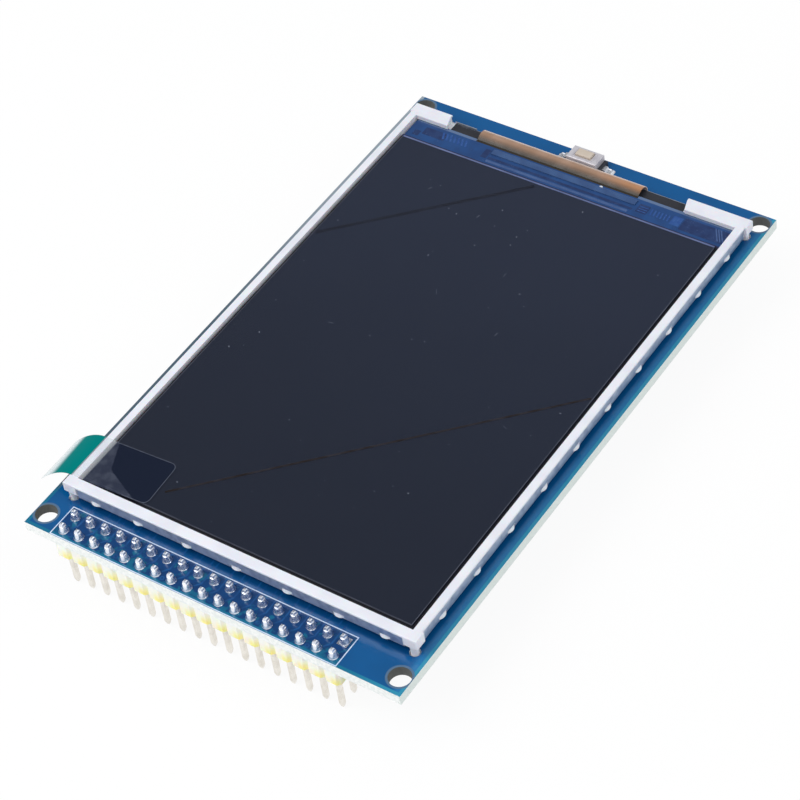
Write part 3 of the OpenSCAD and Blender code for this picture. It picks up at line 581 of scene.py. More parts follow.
class DISPLAY_OT_stage(bpy.types.Operator):
    """Lays the pale floor and sets the soft light"""

    bl_idname = "display.stage"
    bl_label = "Floor and light"

    def execute(self, context):
        stage = settings("display_stage")
        context.scene.view_settings.view_transform = "Standard"
        self.lay_floor(stage)
        self.light_sky(context, stage)
        self.hang_lamps(context, stage)
        return {"FINISHED"}

    def lay_floor(self, stage):
        reach = 2000.0
        low = CAD_BOX[0][2] / MM
        points = np.array([(*xy, low) for xy in rectangle((-reach, -reach), (reach, reach))])
        mesh = bpy.data.meshes.new("floor")
        mesh.from_pydata((points * MM).tolist(), [], [[0, 1, 2, 3]])
        floor = bpy.data.objects.new("floor", mesh)
        bpy.context.scene.collection.objects.link(floor)
        paper = Finish("floor_paper", full(stage.floor), 0.9, level=0.1)
        both = paper.node("MixShader")
        glow = paper.node("Emission").outputs["Emission"]
        sources = (paper.product(paper.sight(), stage.glow), paper.shader.outputs["BSDF"], glow)
        for socket, source in zip(both.inputs, sources):
            paper.feed(socket, source)
        paper.feed(paper.output.inputs["Surface"], both.outputs["Shader"])
        mesh.materials.append(paper.material)

    def light_sky(self, context, stage):
        """White to the eye, dimming overhead in gloss, and plain and even for its own light."""
        world = bpy.data.worlds.new("sky")
        context.scene.world = world
        world.use_nodes = True
        nodes = Nodes(world.node_tree)
        sky = nodes.tree.nodes["Background"]
        sky.inputs["Color"].default_value = (0.96, 0.98, 1.0, 1.0)
        height = nodes.separate(nodes.node("TexCoord").outputs["Generated"])[2]
        dimming = nodes.ease(height, 0.1, 0.6, 1.0, stage.overhead)
        seen = nodes.math("MAXIMUM", dimming, nodes.node("LightPath").outputs["Is Camera Ray"])
        nodes.feed(sky.inputs["Strength"], nodes.mixed(nodes.sight(), stage.sky, seen))

    def hang_lamps(self, context, stage):
        lamps = {"key": ((-260.0, -330.0, 620.0), 520.0, stage.key),
                 "fill": ((520.0, 120.0, 420.0), 420.0, stage.key * 0.35),
                 "glint": ((-442.0, -332.0, 424.0), 140.0, stage.key * 0.14)}
        for name, (spot, size, power) in lamps.items():
            data = bpy.data.lights.new(name, "AREA")
            data.shape = "DISK"
            data.size = size * MM
            data.energy = power
            lamp = bpy.data.objects.new(name, data)
            context.scene.collection.objects.link(lamp)
            lamp.location = Vector(spot) * MM
            lamp.rotation_euler = (-lamp.location).to_track_quat("-Z", "Y").to_euler()


# ---- Board and header ------------------------------------------------------------------------


def pin_centres():
    """Where the header's pins stand: every column's x, and the y of the front and the back row."""
    inset = 0.32  # half a pin's width
    columns = round((PINS[1][0] - PINS[0][0] - 2 * inset) / PITCH) + 1
    xs = PINS[0][0] + inset + PITCH * np.arange(columns)
    front = (PINS[0][1] + PINS[1][1]) / 2 - PITCH / 2
    return xs, front, front + PITCH


def hole_distance(made, x, y):
    """How far a point lies outside the nearest mounting hole."""
    off_x = made.math("SUBTRACT", made.math("ABSOLUTE", x), HOLE_X)
    off_y = made.math("SUBTRACT", made.math("ABSOLUTE", y), HOLE_Y)
    squared = made.math("ADD", made.product(off_x, off_x), made.product(off_y, off_y))
    return made.math("SUBTRACT", made.math("SQRT", squared), HOLE_R)


def mask_on_copper(made, look, x, y):
    """Cloudy mask, with painted light past the frame's right side and a painted shadow at the tray's front
    wall.

    Between the header's pads the mask is deeper, with bare patches that crowd towards the front edge.
    """
    deeper = full([0.86 * c for c in look.mask])
    face = made.mix(made.cloud(9.0, 0.0, 1.0, detail=3.0), full(look.mask), deeper)
    right, wall = MOULDING[1][0], TRAY[0][1]
    # Painted light: the mask turns lighter past the frame's right side.
    face = made.mix(made.ease(x, right - 0.4, right + 0.5), face, linear(36, 114, 168))
    (x0, y0), (x1, y1) = HOUSING[0][:2], HOUSING[1][:2]
    header = made.product(made.between(x, x0, x1), made.ease(y, y1 - 0.05, y1 + 0.05, 1.0, 0.0))
    crowding = made.ease(y, y0, y0 + 2.6, 0.42, 0.56)
    patches = made.ease(made.math("SUBTRACT", made.noise(1.1, 4.0), crowding), -0.02, 0.12)
    face = made.mix(header, face, made.mix(patches, full(look.deep), linear(12, 98, 134)))
    # Painted shadow: a darker band on the mask along the tray's front wall.
    foot = made.product(made.between(x, TRAY[0][0], TRAY[1][0]),
                        made.between(y, wall - 0.5, wall + 1.0, 0.4))
    return made.mix(made.product(foot, 0.6), face, linear(6, 50, 98))


def mask_at_edges(made, look, x, y, face):
    """Past the copper the mask is paler towards the right, and greyer on the left behind the tab."""
    in_x = made.math("SUBTRACT", BOARD[1][0], made.math("ABSOLUTE", x))
    edge = made.math("MINIMUM", in_x, made.math("SUBTRACT", y, BOARD[0][1]))
    paler = made.mix(made.ease(x, 20.0, 29.0), full(look.bare), linear(46, 140, 172))
    face = made.mix(made.past(edge, look.margin), paler, face)
    greyer = made.mix(made.ease(y, -10.0, 30.0), linear(80, 100, 114), linear(150, 162, 172))
    inside = made.past(x, BOARD[0][0] + look.margin)
    beside = made.ease(y, MOULDING[0][1], MOULDING[0][1] + 2.0)
    return made.mix(beside, face, made.mix(inside, greyer, face))


def solder_mask(look):
    """Glossy mask over laminate, greyer round the mounting holes.

    Upright cuts show the laminate, with painted shade making it a little duller on the right edge and dark
    in the holes.
    """
    made = Finish("solder_mask", full(look.mask), 0.14, level=0.4)
    x, y, _ = made.axes()
    hole = hole_distance(made, x, y)
    face = mask_at_edges(made, look, x, y, mask_on_copper(made, look, x, y))
    face = made.mix(made.past(hole, look.ring), linear(84, 112, 140), face)
    cut = made.mottled(0.4, full(look.laminate), linear(236, 240, 238), end=0.65)
    # Painted shade: the laminate is a little duller on the right edge and dark inside the holes.
    cut = made.mix(made.past(x, BOARD[1][0] - 0.15, 0.05), cut, linear(222, 230, 226))
    cut = made.mix(made.past(hole, 0.08, 0.04), linear(96, 98, 96), cut)
    made.paint(made.mix(made.past(made.levelness(), 0.5, 0.1), cut, face))
    matt = made.ease(made.levelness(), 0.4, 0.6, 0.8, 0.0)
    made.polish(made.math("MAXIMUM", made.cloud(0.8, 0.13, 0.19, detail=3.0), matt))
    made.bump(made.noise(0.35, 3.0), 0.0015)
    return made


class DISPLAY_OT_board(bpy.types.Operator):
    """Finishes the carrier board and adds its print, pads, tracks and vias"""

    bl_idname = "display.board"
    bl_label = "Carrier board"

    def execute(self, context):
        look = settings("display_board")
        give(solder_mask(look), "circuit_board")
        ink = flat_print("silkscreen_ink", linear(214, 228, 248), linear(194, 214, 242), 0.6)
        tin = metal("pad_tin", linear(226, 228, 236), linear(188, 192, 204), 0.26)
        ridge = flat_print("masked_track", linear(20, 82, 142), linear(12, 68, 126), 0.16)
        self.print_header(look, ink)
        self.lay_pads(tin)
        self.lay_tracks(look, ridge)
        return {"FINISHED"}

    def print_header(self, look, ink):
        """A printed rectangle over the outline of the housing that stands under the board."""
        low = HOUSING[0][:2] + (-0.09, 0.06)
        high = HOUSING[1][:2] + (-0.06, 0.06)
        line = strip(rectangle(low, high), look.print_width, BOARD_TOP, BOARD_TOP + PRINT_H, closed=True)
        add_piece("silkscreen_line", line, ink)

    def lay_pads(self, tin):
        xs, _, back = pin_centres()
        centre, half = np.array([xs[-1], back]), 0.65
        square = strip(rectangle(centre - half, centre + half), 0.2, BOARD_TOP, BOARD_TOP + PRINT_H,
                       closed=True)
        add_piece("first_pin_pad", square, tin)

    def lay_tracks(self, look, ridge):
        """Back-row pins run straight under the display; front-row pins jog half a pitch to pass them."""
        xs, front, back = pin_centres()
        end = MOULDING[0][1] + 1.2
        half = PITCH / 2
        paths = []
        for i, x in enumerate(xs[:-1]):
            bend = back - half + 0.1 * (i % 3)
            jog = half - 0.35
            paths.append([(x + 0.55, front + 0.55), (x + half, front + 0.55 + jog), (x + half, end)])
            if i % 4 != 1:
                paths.append([(x, back + 0.8), (x, bend + 2.2), (x + 0.4, bend + 2.6), (x + 0.4, end)])
        runs = [strip(path, look.track_width, BOARD_TOP, BOARD_TOP + TRACK_H) for path in paths]
        via = washer((0.0, 0.0), 0.14, 0.34, BOARD_TOP, BOARD_TOP + TRACK_H, 16)
        vias = stamp(via, [(x + half, front - 0.25) for x in xs[:-1:3]])
        add_piece("masked_tracks", joined(runs + [vias]), ridge)


class DISPLAY_OT_header(bpy.types.Operator):
    """Finishes the pin header"""

    bl_idname = "display.header"
    bl_label = "Pin header"

    def execute(self, context):
        give(self.plastic(), "header_housing")
        plating = metal("pin_plating", linear(242, 240, 234), linear(226, 224, 217), 0.3,
                        along=(8.0, 8.0, 1.0), depth=0.0006)
        _, _, z = plating.axes()
        # Painted reflection: the plating is warmer below the board and cooler above it.
        below = plating.mottled(1.2, linear(240, 236, 228), linear(224, 219, 209), end=0.75)
        above = plating.mottled(1.2, linear(240, 243, 250), linear(222, 227, 238), end=0.75)
        plating.paint(plating.mix(plating.ease(z, BOARD_UNDER, BOARD_TOP), below, above))
        give(plating, "header_pins")
        solder = metal("bright_solder", linear(246, 248, 253), linear(222, 226, 238), 0.24, streak=0.5,
                       bare=0.95)
        give(solder, "header_solder")
        return {"FINISHED"}

    def plastic(self):
        """Milky moulding, with painted shade as the deeper yellow low down at each pin."""
        made = Finish("header_plastic", linear(253, 250, 238), 0.45, subsurface=0.3,
                      subsurface_scale=0.0015)
        _, _, z = made.axes()
        low = made.ease(z, HOUSING[0][2] + 0.2, HOUSING[1][2] - 0.5, 1.0, 0.12)
        pins = made.ease(made.waves(PITCH, "X", crest=pin_centres()[0][0]), 0.2, 0.9, 0.35, 1.0)
        # Painted shade: yellower low down at each pin, paler near the board and between the pins.
        made.paint(made.mix(made.product(low, pins), linear(255, 254, 247), linear(255, 241, 146)))
        made.polish(made.cloud(0.5, 0.38, 0.52, detail=4.0))
        made.bump(made.noise(0.08, 3.0), 0.004)
        return made


# ---- Display ---------------------------------------------------------------------------------


class DISPLAY_OT_frame(bpy.types.Operator):
    """Finishes the white frame, the steel tray and the foam tape"""

    bl_idname = "display.frame"
    bl_label = "Display frame"

    def execute(self, context):
        white = moulded("frame_white", linear(233, 234, 241), linear(226, 227, 236), 0.42,
                        subsurface=0.15, subsurface_scale=0.0008)
        give(white, "mould_frame")
        steel = metal("tray_steel", linear(212, 218, 230), linear(180, 188, 206), 0.42,
                      along=(0.25, 0.25, 3.0), streak=0.4, depth=0.004)
        give(steel, "metal_tray")
        foam = moulded("foam_tape", linear(40, 42, 46), linear(28, 30, 34), 0.9, grain=0.03)
        give(foam, "mounting_tape")
        return {"FINISHED"}


class DISPLAY_OT_light_unit(bpy.types.Operator):
    """Finishes the sheets and diodes inside the display"""

    bl_idname = "display.light_unit"
    bl_label = "Light unit"

    def execute(self, context):
        give(moulded("reflector_white", linear(240, 240, 238), linear(228, 230, 232), 0.35),
             "reflector_sheet")
        give(clear_sheet("guide_acrylic", linear(236, 244, 248)), "light_guide")
        give(moulded("diffuser_film", linear(226, 228, 232), linear(216, 220, 226), 0.7),
             "diffuser_sheet")
        prisms = clear_sheet("prism_film", linear(220, 226, 232), 0.25)
        prisms.bump(prisms.waves(0.05, "X"), 0.02)
        give(prisms, "lower_prism_sheet", "upper_prism_sheet")
        give(moulded("diode_case", linear(244, 240, 214), linear(232, 222, 170), 0.4), "backlight_leds")
        give(moulded("strip_amber", linear(150, 98, 46), linear(128, 80, 36), 0.35), "led_strip")
        give(moulded("rim_tape_black", linear(18, 18, 22), linear(26, 26, 32), 0.6), "rim_tape")
        give(moulded("rear_polarizer_grey", linear(30, 32, 44), linear(24, 26, 38), 0.25),
             "rear_polarizer")
        return {"FINISHED"}


def dark_sheet(name, look, roughness, **sockets):
    """Dark sheet over the picture, a little paler towards the back edge as a painted reflection, and
    cloudy overall.
    """
    made = Finish(name, full(look.dark), roughness, ior=1.5, **sockets)
    _, y, _ = made.axes()
    back = made.ease(y, FILM[0][1], FILM[1][1] + 10.0)
    front = full([0.62 * c for c in look.dark])
    # Painted reflection: darker at the front and paler towards the back.
    made.paint(made.mix(made.product(back, made.cloud(24.0, 0.85, 1.0)), front, full(look.dark)))
    made.polish(made.cloud(5.0, roughness - 0.02, roughness + 0.03, detail=3.0))
    return made


class DISPLAY_OT_glass(bpy.types.Operator):
    """Finishes the glass, the polarizer, the driver chip and the gel"""

    bl_idname = "display.glass"
    bl_label = "Glass"

    def execute(self, context):
        look = settings("display_screen")
        ledge = Finish("ledge_glass", full(look.ledge), 0.12, ior=1.5)
        _, y, _ = ledge.axes()
        patches = ledge.ease(ledge.noise(2.2, 2.0, stretch=(1.0, 0.6, 1.0)), 0.4, 0.6)
        tracks = ledge.mix(patches, full(look.ledge), linear(30, 60, 114))
        # Painted light: past the gel the ledge is a lighter grey-blue, lit from the frame's inner wall.
        ledge.paint(ledge.mix(ledge.past(y, GEL[1][1], 0.1), tracks, linear(92, 114, 150)))
        ledge.polish(ledge.cloud(1.0, 0.1, 0.2))
        give(ledge, "rear_glass")
        rim = Finish("screen_glass", linear(14, 14, 24), 0.12, ior=1.5)
        _, y, _ = rim.axes()
        border = rim.mix(rim.noise(0.8, 3.0), linear(10, 10, 18), linear(22, 22, 34))
        rim.paint(rim.mix(rim.past(y, FILM[1][1], 0.1), border, linear(36, 38, 70)))
        give(rim, "front_glass")
        give(dark_sheet("screen_polarizer", look, 0.3), "front_polarizer")
        give(flat_print("chip_blue", linear(58, 88, 134), linear(48, 76, 122), 0.3, 2.0), "driver_chip")
        gel = flat_print("gel_blue", full(look.ledge), linear(33, 66, 116), 0.2, 2.5, ior=1.4)
        gel.bump(gel.noise(0.8, 2.0, stretch=(0.3, 1.0, 1.0)), 0.02)
        give(gel, "sealing_gel")
        return {"FINISHED"}


class DISPLAY_OT_ledge(bpy.types.Operator):
    """Lays the conductor patterns and the adhesive lines that show on the glass ledge"""

    bl_idname = "display.ledge"
    bl_label = "Ledge conductors"

    def execute(self, context):
        left, right, top = GEL[0][0], GEL[1][0], GEL[1][2]
        start, end, back = CHIP[0][0], CHIP[1][0], CHIP[1][1] - GEL[0][1]
        shade = self.patches(
            (left + 2.2, left + 5.9, 1.57, 3.07), (left + 0.9, left + 1.9, 0.87, 1.97),
            (start - 1.2, start - 0.25, 1.17, 2.97), (start, end, 1.22, 1.67),
            (end + 0.6, end + 2.3, 1.27, 2.97), (end + 7.8, right - 0.1, 0.77, 3.27))
        add_piece("ledge_shade", joined(shade),
                  flat_print("ledge_navy", linear(28, 48, 92), linear(34, 58, 104), 0.2, 1.2))
        comb = [self.bar((x, 1.87), (x - 0.55, 3.17), 0.3)
                for x in np.arange(start - 8.1, start - 4.2, 0.65)]
        teeth = [self.bar((x, 1.47), (x - 0.15, 2.67), 0.24)
                 for x in np.arange(end + 2.9, end + 5.8, 0.55)]
        rungs = [self.bar((end + 0.8, y), (end + 2.2, y), 0.14) for y in (1.57, 2.02, 2.47)]
        block = self.patches((end + 6.1, end + 7.6, 1.17, 2.97))
        add_piece("ledge_fingers", joined(comb + teeth + rungs + block),
                  flat_print("finger_blue", linear(36, 74, 140), linear(46, 86, 148), 0.2, 0.8))
        strokes = [self.bar((right - 2.3 + step, 3.27), (right - 0.9 + step, 1.07), 0.16)
                   for step in (0.0, 0.42, 0.84)]
        lines = self.patches((start, end - 0.4, 0.57, 1.02), (start + 0.2, end, back + 0.05, back + 0.2))
        add_piece("ledge_lines", joined(strokes + lines),
                  flat_print("line_blue", linear(70, 96, 144), linear(58, 84, 132), 0.25, 1.5))
        dot = washer((5.8, CHIP[1][1] + 0.15), 0.02, 0.27, top, top + PRINT_H, 16)
        add_piece("ledge_dot", dot,
                  flat_print("dot_white", linear(226, 232, 238), linear(206, 214, 226), 0.4, 0.2))
        return {"FINISHED"}

    def patches(self, *spans):
        """Flat patches on the gel, each by its left, right, front and back side.

        Fronts and backs are measured from the gel's front edge, as they are for bars.
        """
        front, top = GEL[0][1], GEL[1][2]
        return [plate((x0, front + y0), (x1, front + y1), top, top + TRACK_H)
                for x0, x1, y0, y1 in spans]

    def bar(self, start, end, width):
        """A straight conductor on the gel, half as high again as a patch."""
        ends = np.array([start, end]) + (0.0, GEL[0][1])
        return strip(ends, width, GEL[1][2], GEL[1][2] + 1.5 * TRACK_H)


def tab_frame(look):
    """Corner of the pull tab in the frame's pocket, and its directions along and across."""
    corner = REAR_GLASS[0][:2] + (-0.3, -0.2)
    along = np.array([math.cos(look.tab_turn), math.sin(look.tab_turn)])
    return corner, along, np.array([-along[1], along[0]])


class DISPLAY_OT_film(bpy.types.Operator):
    """Finishes the protective film and adds its edges with painted highlights, its creases with painted
    shade, dust and scratches
    """

    bl_idname = "display.film"
    bl_label = "Protective film"

    def execute(self, context):
        look = settings("display_screen")
        give(dark_sheet("film_clear", look, 0.14, alpha=0.4), "protective_film")
        top = FILM[1][2]
        low, high = FILM[0][:2], FILM[1][:2]
        cut = 0.08
        left, front, right = low[0] + cut / 2, low[1] + cut / 2, high[0] - cut / 2
        # Painted highlights: thin light lines along the film's cut edges.
        sides = [(left, high[1]), (left, front), (right, front), (right, high[1])]
        add_piece("film_edge", strip(sides, cut, top, top + TRACK_H),
                  flat_print("film_edge_grey", linear(88, 92, 106), linear(70, 74, 88), 0.3, 4.0))
        # A wider and lighter painted highlight along the back edge.
        back = plate((low[0], high[1] - 0.26), high, top, top + TRACK_H)
        add_piece("film_back_edge", back,
                  flat_print("film_edge_lilac", linear(104, 116, 158), linear(86, 98, 138), 0.3, 4.0))
        self.fold_film(low, high, top)
        self.scatter_dust(look, low, high, top)
        return {"FINISHED"}

    def fold_film(self, low, high, top):
        """Two faint creases, each a low ridge that runs slantwise across the film, painted dark as the
        shade in the fold.
        """
        folds = {"film_crease": ([(low[0] + 11.05, low[1] + 3.02), (high[0] - 0.3, 3.6)], 0.34, 0.8),
                 "film_crease_back": ([(low[0] + 0.3, 13.2), (low[0] + 23.0, high[1] - 0.8)], 0.6, 0.13)}
        for name, (path, width, strength) in folds.items():
            # Painted shade: the creases' dark brown colour.
            look = flat_print(name, linear(36, 28, 28), linear(48, 46, 54), 0.45, 2.2,
                              level=0.2, alpha=strength)
            add_piece(name, strip(path, width, top, top + TRACK_H / 2), look)

    def scatter_dust(self, look, low, high, top):
        """Dust specks at random places, most of them small, and a few fine scratches."""
        rng = np.random.default_rng(look.seed)
        spots = rng.uniform(low + 1.5, high - 1.5, (look.specks, 2))
        sizes = 0.035 + 0.085 * rng.random(look.specks) ** 3
        turns = rng.uniform(0, math.pi, look.specks)
        stretch = 1.0 + 1.5 * rng.random(look.specks) ** 2
        dust = flat_print("film_dust", linear(126, 132, 148), linear(92, 98, 114), 0.8, 6.0)
        add_piece("film_specks", grains(spots, sizes, turns, stretch, top, 0.02), dust)
        marks = rng.uniform(low + 6.0, high - 6.0, (9, 2))
        ways = rng.uniform(-0.4, 2.2, 9)
        reach = 0.25 + 0.9 * rng.random(9)
        wisps = [strip([spot, spot + size * np.array([math.cos(way), math.sin(way)])], 0.045,
                       top, top + TRACK_H / 3) for spot, way, size in zip(marks, ways, reach)]
        add_piece("film_scratches", joined(wisps), dust)


class DISPLAY_OT_pull_tab(bpy.types.Operator):
    """Finishes the pull tab and adds the painted highlight along its edge"""

    bl_idname = "display.pull_tab"
    bl_label = "Pull tab"

    def execute(self, context):
        look = settings("display_screen")
        give(self.sheet(look), "pull_tab")
        self.edge_line(look)
        return {"FINISHED"}

    def sheet(self, look):
        """Clinging dark film on the screen, clear over the rim, teal past it, fading to a clear tip
        painted whitish as a reflection.
        """
        made = Finish("pull_tab_sheet", full(look.teal), 0.6, level=0.02)
        x, y, _ = made.axes()
        rim = MOULDING[0][0] + EAR
        past_rim = made.ease(x, rim - 0.05, rim + 0.05, 1.0, 0.0)
        on_film = made.ease(x, FILM[0][0] - 0.1, FILM[0][0] + 0.05)
        slanted = made.math("MULTIPLY_ADD", y, 0.1, x)
        tip = made.ease(slanted, rim - 8.2, rim - 6.7, 1.0, 0.0)
        loose = made.mottled(1.2, linear(56, 62, 80), linear(76, 82, 98))
        inside = made.mix(self.clings(made, x, y), loose, linear(33, 40, 58))
        inside = made.mix(on_film, linear(222, 228, 234), inside)
        # Painted reflection: the teal turns whitish towards the curled tip.
        outside = made.mix(tip, full(look.teal), linear(214, 224, 226))
        made.paint(made.mix(past_rim, inside, outside))
        solid = made.ease(slanted, rim - 9.2, rim - 7.4, 0.3, 1.0)
        over_rim = made.mixed(on_film, 0.15, 0.72)
        made.feed(made.shader.inputs["Alpha"], made.mixed(past_rim, over_rim, solid))
        made.polish(made.mixed(past_rim, 0.2, 0.65))
        return made

    def clings(self, made, x, y):
        """0 where the tab has let go of the film, and 1 past that patch's two straight, wavy edges.

        The edges meet at a corner, and each leans by a share of the way along the other axis.
        """
        corner = FILM[0][:2] + (2.27, 2.71)
        along = made.math("SUBTRACT", x, corner[0])
        across = made.math("SUBTRACT", y, corner[1])
        back = made.math("MULTIPLY_ADD", across, 0.445, along)
        front = made.math("MULTIPLY_ADD", along, 0.482, across)
        wavy = made.math("SUBTRACT", made.noise(0.7, 2.0), 0.5)
        past = made.math("MULTIPLY_ADD", wavy, 0.35, made.math("MINIMUM", back, front))
        return made.ease(past, -0.05, 0.1)

    def edge_line(self, look):
        """A thin painted highlight along the tab's back edge and round its inner end."""
        corner, along, across = tab_frame(look)
        start = FILM[0][0] - corner[0] + 0.35
        inset = 0.045
        outline = rounded((start, inset), (look.tab_hold - inset, look.tab_width - inset),
                          look.tab_corner, 7)
        kept = [point for point in outline if point[0] > start + look.tab_corner]
        path = [(start + 5.9, inset), *kept, (start, look.tab_width - inset)]
        path = [corner + u * along + v * across for u, v in path]
        height = FILM[1][2] + 0.07
        # Painted highlight: a light line along the tab's edge.
        add_piece("tab_edge", strip(path, 0.07, height, height + TRACK_H),
                  flat_print("tab_edge_highlight", linear(98, 104, 120), linear(82, 88, 104), 0.35, 1.0))


class DISPLAY_OT_flex(bpy.types.Operator):
    """Finishes the flexible circuit, with painted shade low on the ledge and a painted highlight past its
    crest, and the tape
    """

    bl_idname = "display.flex"
    bl_label = "Flexible circuit"

    def execute(self, context):
        amber = Finish("flex_amber", linear(160, 130, 112), 0.3, ior=1.4)
        x, y, _ = amber.axes()
        front, back = GEL[1][1], FLEX[1][1]
        # Cloudy amber, more orange towards the right.
        amber_tone = amber.mix(amber.cloud(3.0, 0.0, 1.0), linear(170, 138, 118), linear(154, 122, 100))
        amber_tone = amber.mix(amber.ease(x, 2.0, 12.0), amber_tone, linear(180, 130, 94))
        # Painted highlight: pale past the crest. Painted shade: dark low on the ledge.
        tone_with_painted_highlight = amber.mix(amber.ease(y, back - 1.1, back - 0.5), amber_tone, linear(216, 196, 186))
        amber.paint(amber.mix(amber.ease(y, front + 0.4, front + 1.6), linear(50, 44, 36), tone_with_painted_highlight))
        amber.polish(amber.cloud(1.5, 0.26, 0.4))
        amber.bump(amber.waves(0.32, "X"), 0.006)
        give(amber, "display_flex")
        give(moulded("tape_black", linear(40, 42, 50), linear(30, 32, 40), 0.5), "back_tape")
        return {"FINISHED"}


class DISPLAY_OT_switch(bpy.types.Operator):
    """Finishes the reset switch and adds the solder at its leads"""

    bl_idname = "display.switch"
    bl_label = "Reset switch"

    def execute(self, context):
        give(moulded("switch_black", linear(44, 46, 54), linear(54, 56, 64), 0.5), "switch_base")
        give(metal("dome_steel", linear(190, 192, 196), linear(170, 172, 178), 0.2), "switch_dome")
        give(moulded("plunger_beige", linear(208, 196, 182), linear(198, 184, 168), 0.5),
             "switch_plunger")
        cover = metal("cover_silver", linear(214, 211, 217), linear(198, 194, 202), 0.45, bare=0.35)
        give(cover, "switch_cover")
        give(metal("leg_tin", linear(242, 244, 248), linear(216, 219, 226), 0.38), "switch_legs")
        low, high = COVER[0][:2] + (0.85, 0.42), COVER[1][:2] - (0.85, 0.42)
        lip = strip(rounded(low, high, 0.15, 4), 0.16, COVER[1][2], COVER[1][2] + 0.05, closed=True)
        add_piece("cover_lip", lip, cover)
        (x0, y0, z0), (x1, _, _) = COVER
        tongue = plate((x0 + 0.45, y0 - 0.05), (x1 - 0.45, y0 + 0.01), z0 - 0.75, z0 + 0.06)
        add_piece("cover_tongue", tongue, cover)
        (x0, y0, z0), (x1, y1, _) = LEGS
        spread, top = 0.35, z0 + 0.42
        inner = BASE[1][0] + spread
        pools = [skirt((inner, y0), (x1, y1), spread, z0, top, 32, 6),
                 skirt((x0, y0), (-inner, y1), spread, z0, top, 32, 6)]
        add_piece("switch_solder", joined(pools),
                  metal("switch_solder_tin", linear(242, 244, 249), linear(216, 220, 230), 0.34, bare=0.7),
                  smooth=True)
        return {"FINISHED"}


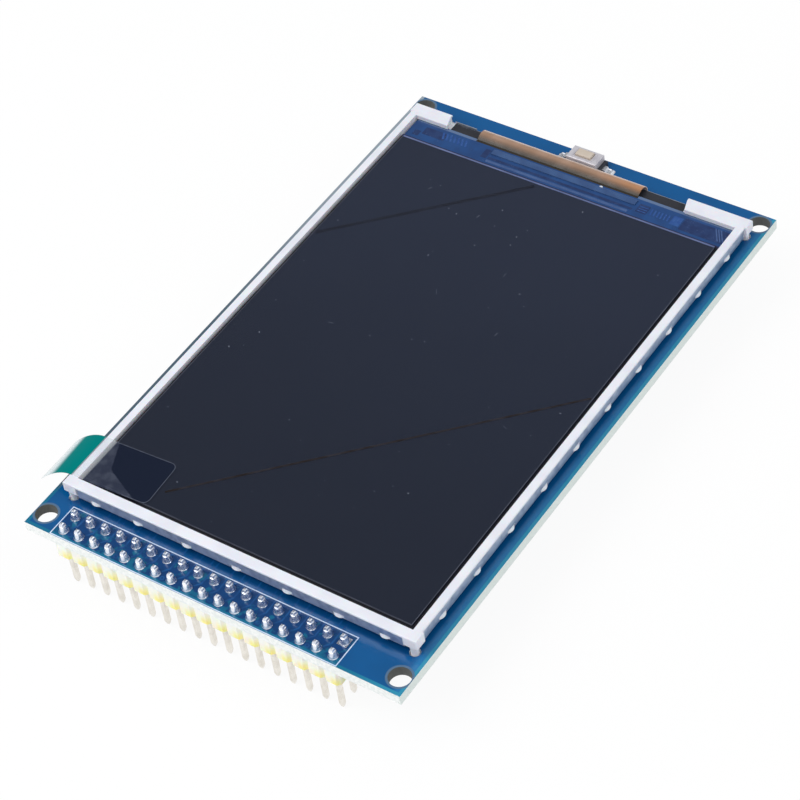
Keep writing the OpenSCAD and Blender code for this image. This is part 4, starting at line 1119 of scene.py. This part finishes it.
class DISPLAY_OT_underside(bpy.types.Operator):
    """Finishes the parts under the board and adds the print and tracks round them"""

    bl_idname = "display.underside"
    bl_label = "Underside parts"

    def execute(self, context):
        look = settings("display_board")
        give(moulded("socket_black", linear(24, 24, 28), linear(34, 34, 38), 0.5), "card_socket_base")
        give(metal("shell_steel", linear(206, 209, 214), linear(184, 188, 196), 0.26,
                   along=(6.0, 0.4, 1.0)), "card_socket_shell")
        give(metal("contact_gold", linear(232, 196, 110), linear(214, 176, 92), 0.2),
             "card_socket_contacts")
        give(moulded("chip_black", linear(34, 35, 38), linear(44, 45, 48), 0.55, grain=0.008),
             "buffer_bodies", "regulator_body")
        give(metal("leg_plating", linear(214, 216, 220), linear(188, 192, 198), 0.25),
             "buffer_legs_group", "regulator_legs", "chip_end_caps")
        give(moulded("capacitor_tan", linear(176, 146, 108), linear(160, 130, 94), 0.5),
             "chip_capacitors")
        give(moulded("resistor_black", linear(26, 26, 30), linear(38, 38, 42), 0.35), "chip_resistors")
        self.print_outlines(look)
        self.run_tracks(look)
        return {"FINISHED"}

    def print_outlines(self, look):
        """A printed line round each part, and a dot at the first leg of each chip."""
        gap, inset, foot = 0.5, 0.2, BOARD_UNDER - PRINT_H
        lines = []
        for low, high in (SOCKET, *self.halves(BUFFERS), REGULATOR):
            outline = rectangle(np.maximum(low[:2] - gap, BOARD[0][:2] + inset),
                                np.minimum(high[:2] + gap, BOARD[1][:2] - inset))
            lines.append(strip(outline, look.print_width, foot, BOARD_UNDER, closed=True))
        dots = [washer((low[0] - 0.95, low[1] - 0.2), 0.02, 0.28, foot, BOARD_UNDER, 20)
                for low, _ in self.halves(BUFFERS)]
        add_piece("underside_print", joined(lines + dots),
                  flat_print("underside_ink", linear(236, 240, 246), linear(216, 224, 236), 0.6))

    def halves(self, pair):
        """Boxes of the two chips that share one node, at the two ends of the pair's box."""
        low, high = pair
        chip = 12.5  # one chip's length
        other = (high[0] - low[0] - chip, 0.0, 0.0)
        return [(low, high - other), (low + other, high)]

    def run_tracks(self, look):
        """Tracks that gather from the header to the chips, and a bus from them up the middle."""
        xs, _, _ = pin_centres()
        start, stop = HOUSING[1][1] + 0.1, BUFFER_LEGS[0][1] - 0.2
        gathered = 0.86 * xs + 1.2
        fan = [[(x, start), (x, start + 1.5 + 0.25 * (i % 4)), (end, stop - 1.2), (end, stop)]
               for i, (x, end) in enumerate(zip(xs, gathered))]
        first, last = BUFFER_LEGS[1][1] + 0.2, SOCKET[0][1] - 1.5
        bus = []
        for i, x in enumerate(np.arange(BUFFERS[0][0] + 1.0, BUFFERS[1][0], 1.9)):
            bend = last - (0.6 * i) % 5
            bus.append([(x, first), (x, bend), (x + 0.8, bend + 0.8)])
        runs = [strip(path, look.track_width, BOARD_UNDER - TRACK_H, BOARD_UNDER) for path in fan + bus]
        ridge = flat_print("underside_track", linear(30, 98, 166), linear(18, 80, 148), 0.14)
        add_piece("underside_tracks", joined(runs), ridge)


class DISPLAY_PT_panel(bpy.types.Panel):
    """Lists the steps and their sizes in the 3D view's sidebar"""

    bl_idname = "DISPLAY_PT_panel"
    bl_label = "Display Module"
    bl_space_type = "VIEW_3D"
    bl_region_type = "UI"
    bl_category = "Display Module"

    def draw(self, context):
        for group in GROUPS:
            shelf = self.layout.box()
            for name in getattr(context.scene, group).bl_rna.properties.keys():
                if name not in ("rna_type", "name"):
                    shelf.prop(getattr(context.scene, group), name)
        for operator in STEPS:
            self.layout.operator(operator.bl_idname)


STEPS = (
    DISPLAY_OT_camera, DISPLAY_OT_stage, DISPLAY_OT_board, DISPLAY_OT_header, DISPLAY_OT_frame,
    DISPLAY_OT_light_unit, DISPLAY_OT_glass, DISPLAY_OT_ledge, DISPLAY_OT_film, DISPLAY_OT_pull_tab,
    DISPLAY_OT_flex, DISPLAY_OT_switch, DISPLAY_OT_underside,
)


def register():
    for cls in (*GROUPS.values(), *STEPS, DISPLAY_PT_panel):
        bpy.utils.register_class(cls)
    for group, cls in GROUPS.items():
        setattr(bpy.types.Scene, group, PointerProperty(type=cls))


def unregister():
    for group in GROUPS:
        delattr(bpy.types.Scene, group)
    for cls in reversed((*GROUPS.values(), *STEPS, DISPLAY_PT_panel)):
        bpy.utils.unregister_class(cls)


def main():
    register()
    for step in STEPS:
        family, name = step.bl_idname.split(".")
        getattr(getattr(bpy.ops, family), name)()


if __name__ == "__main__":
    main()
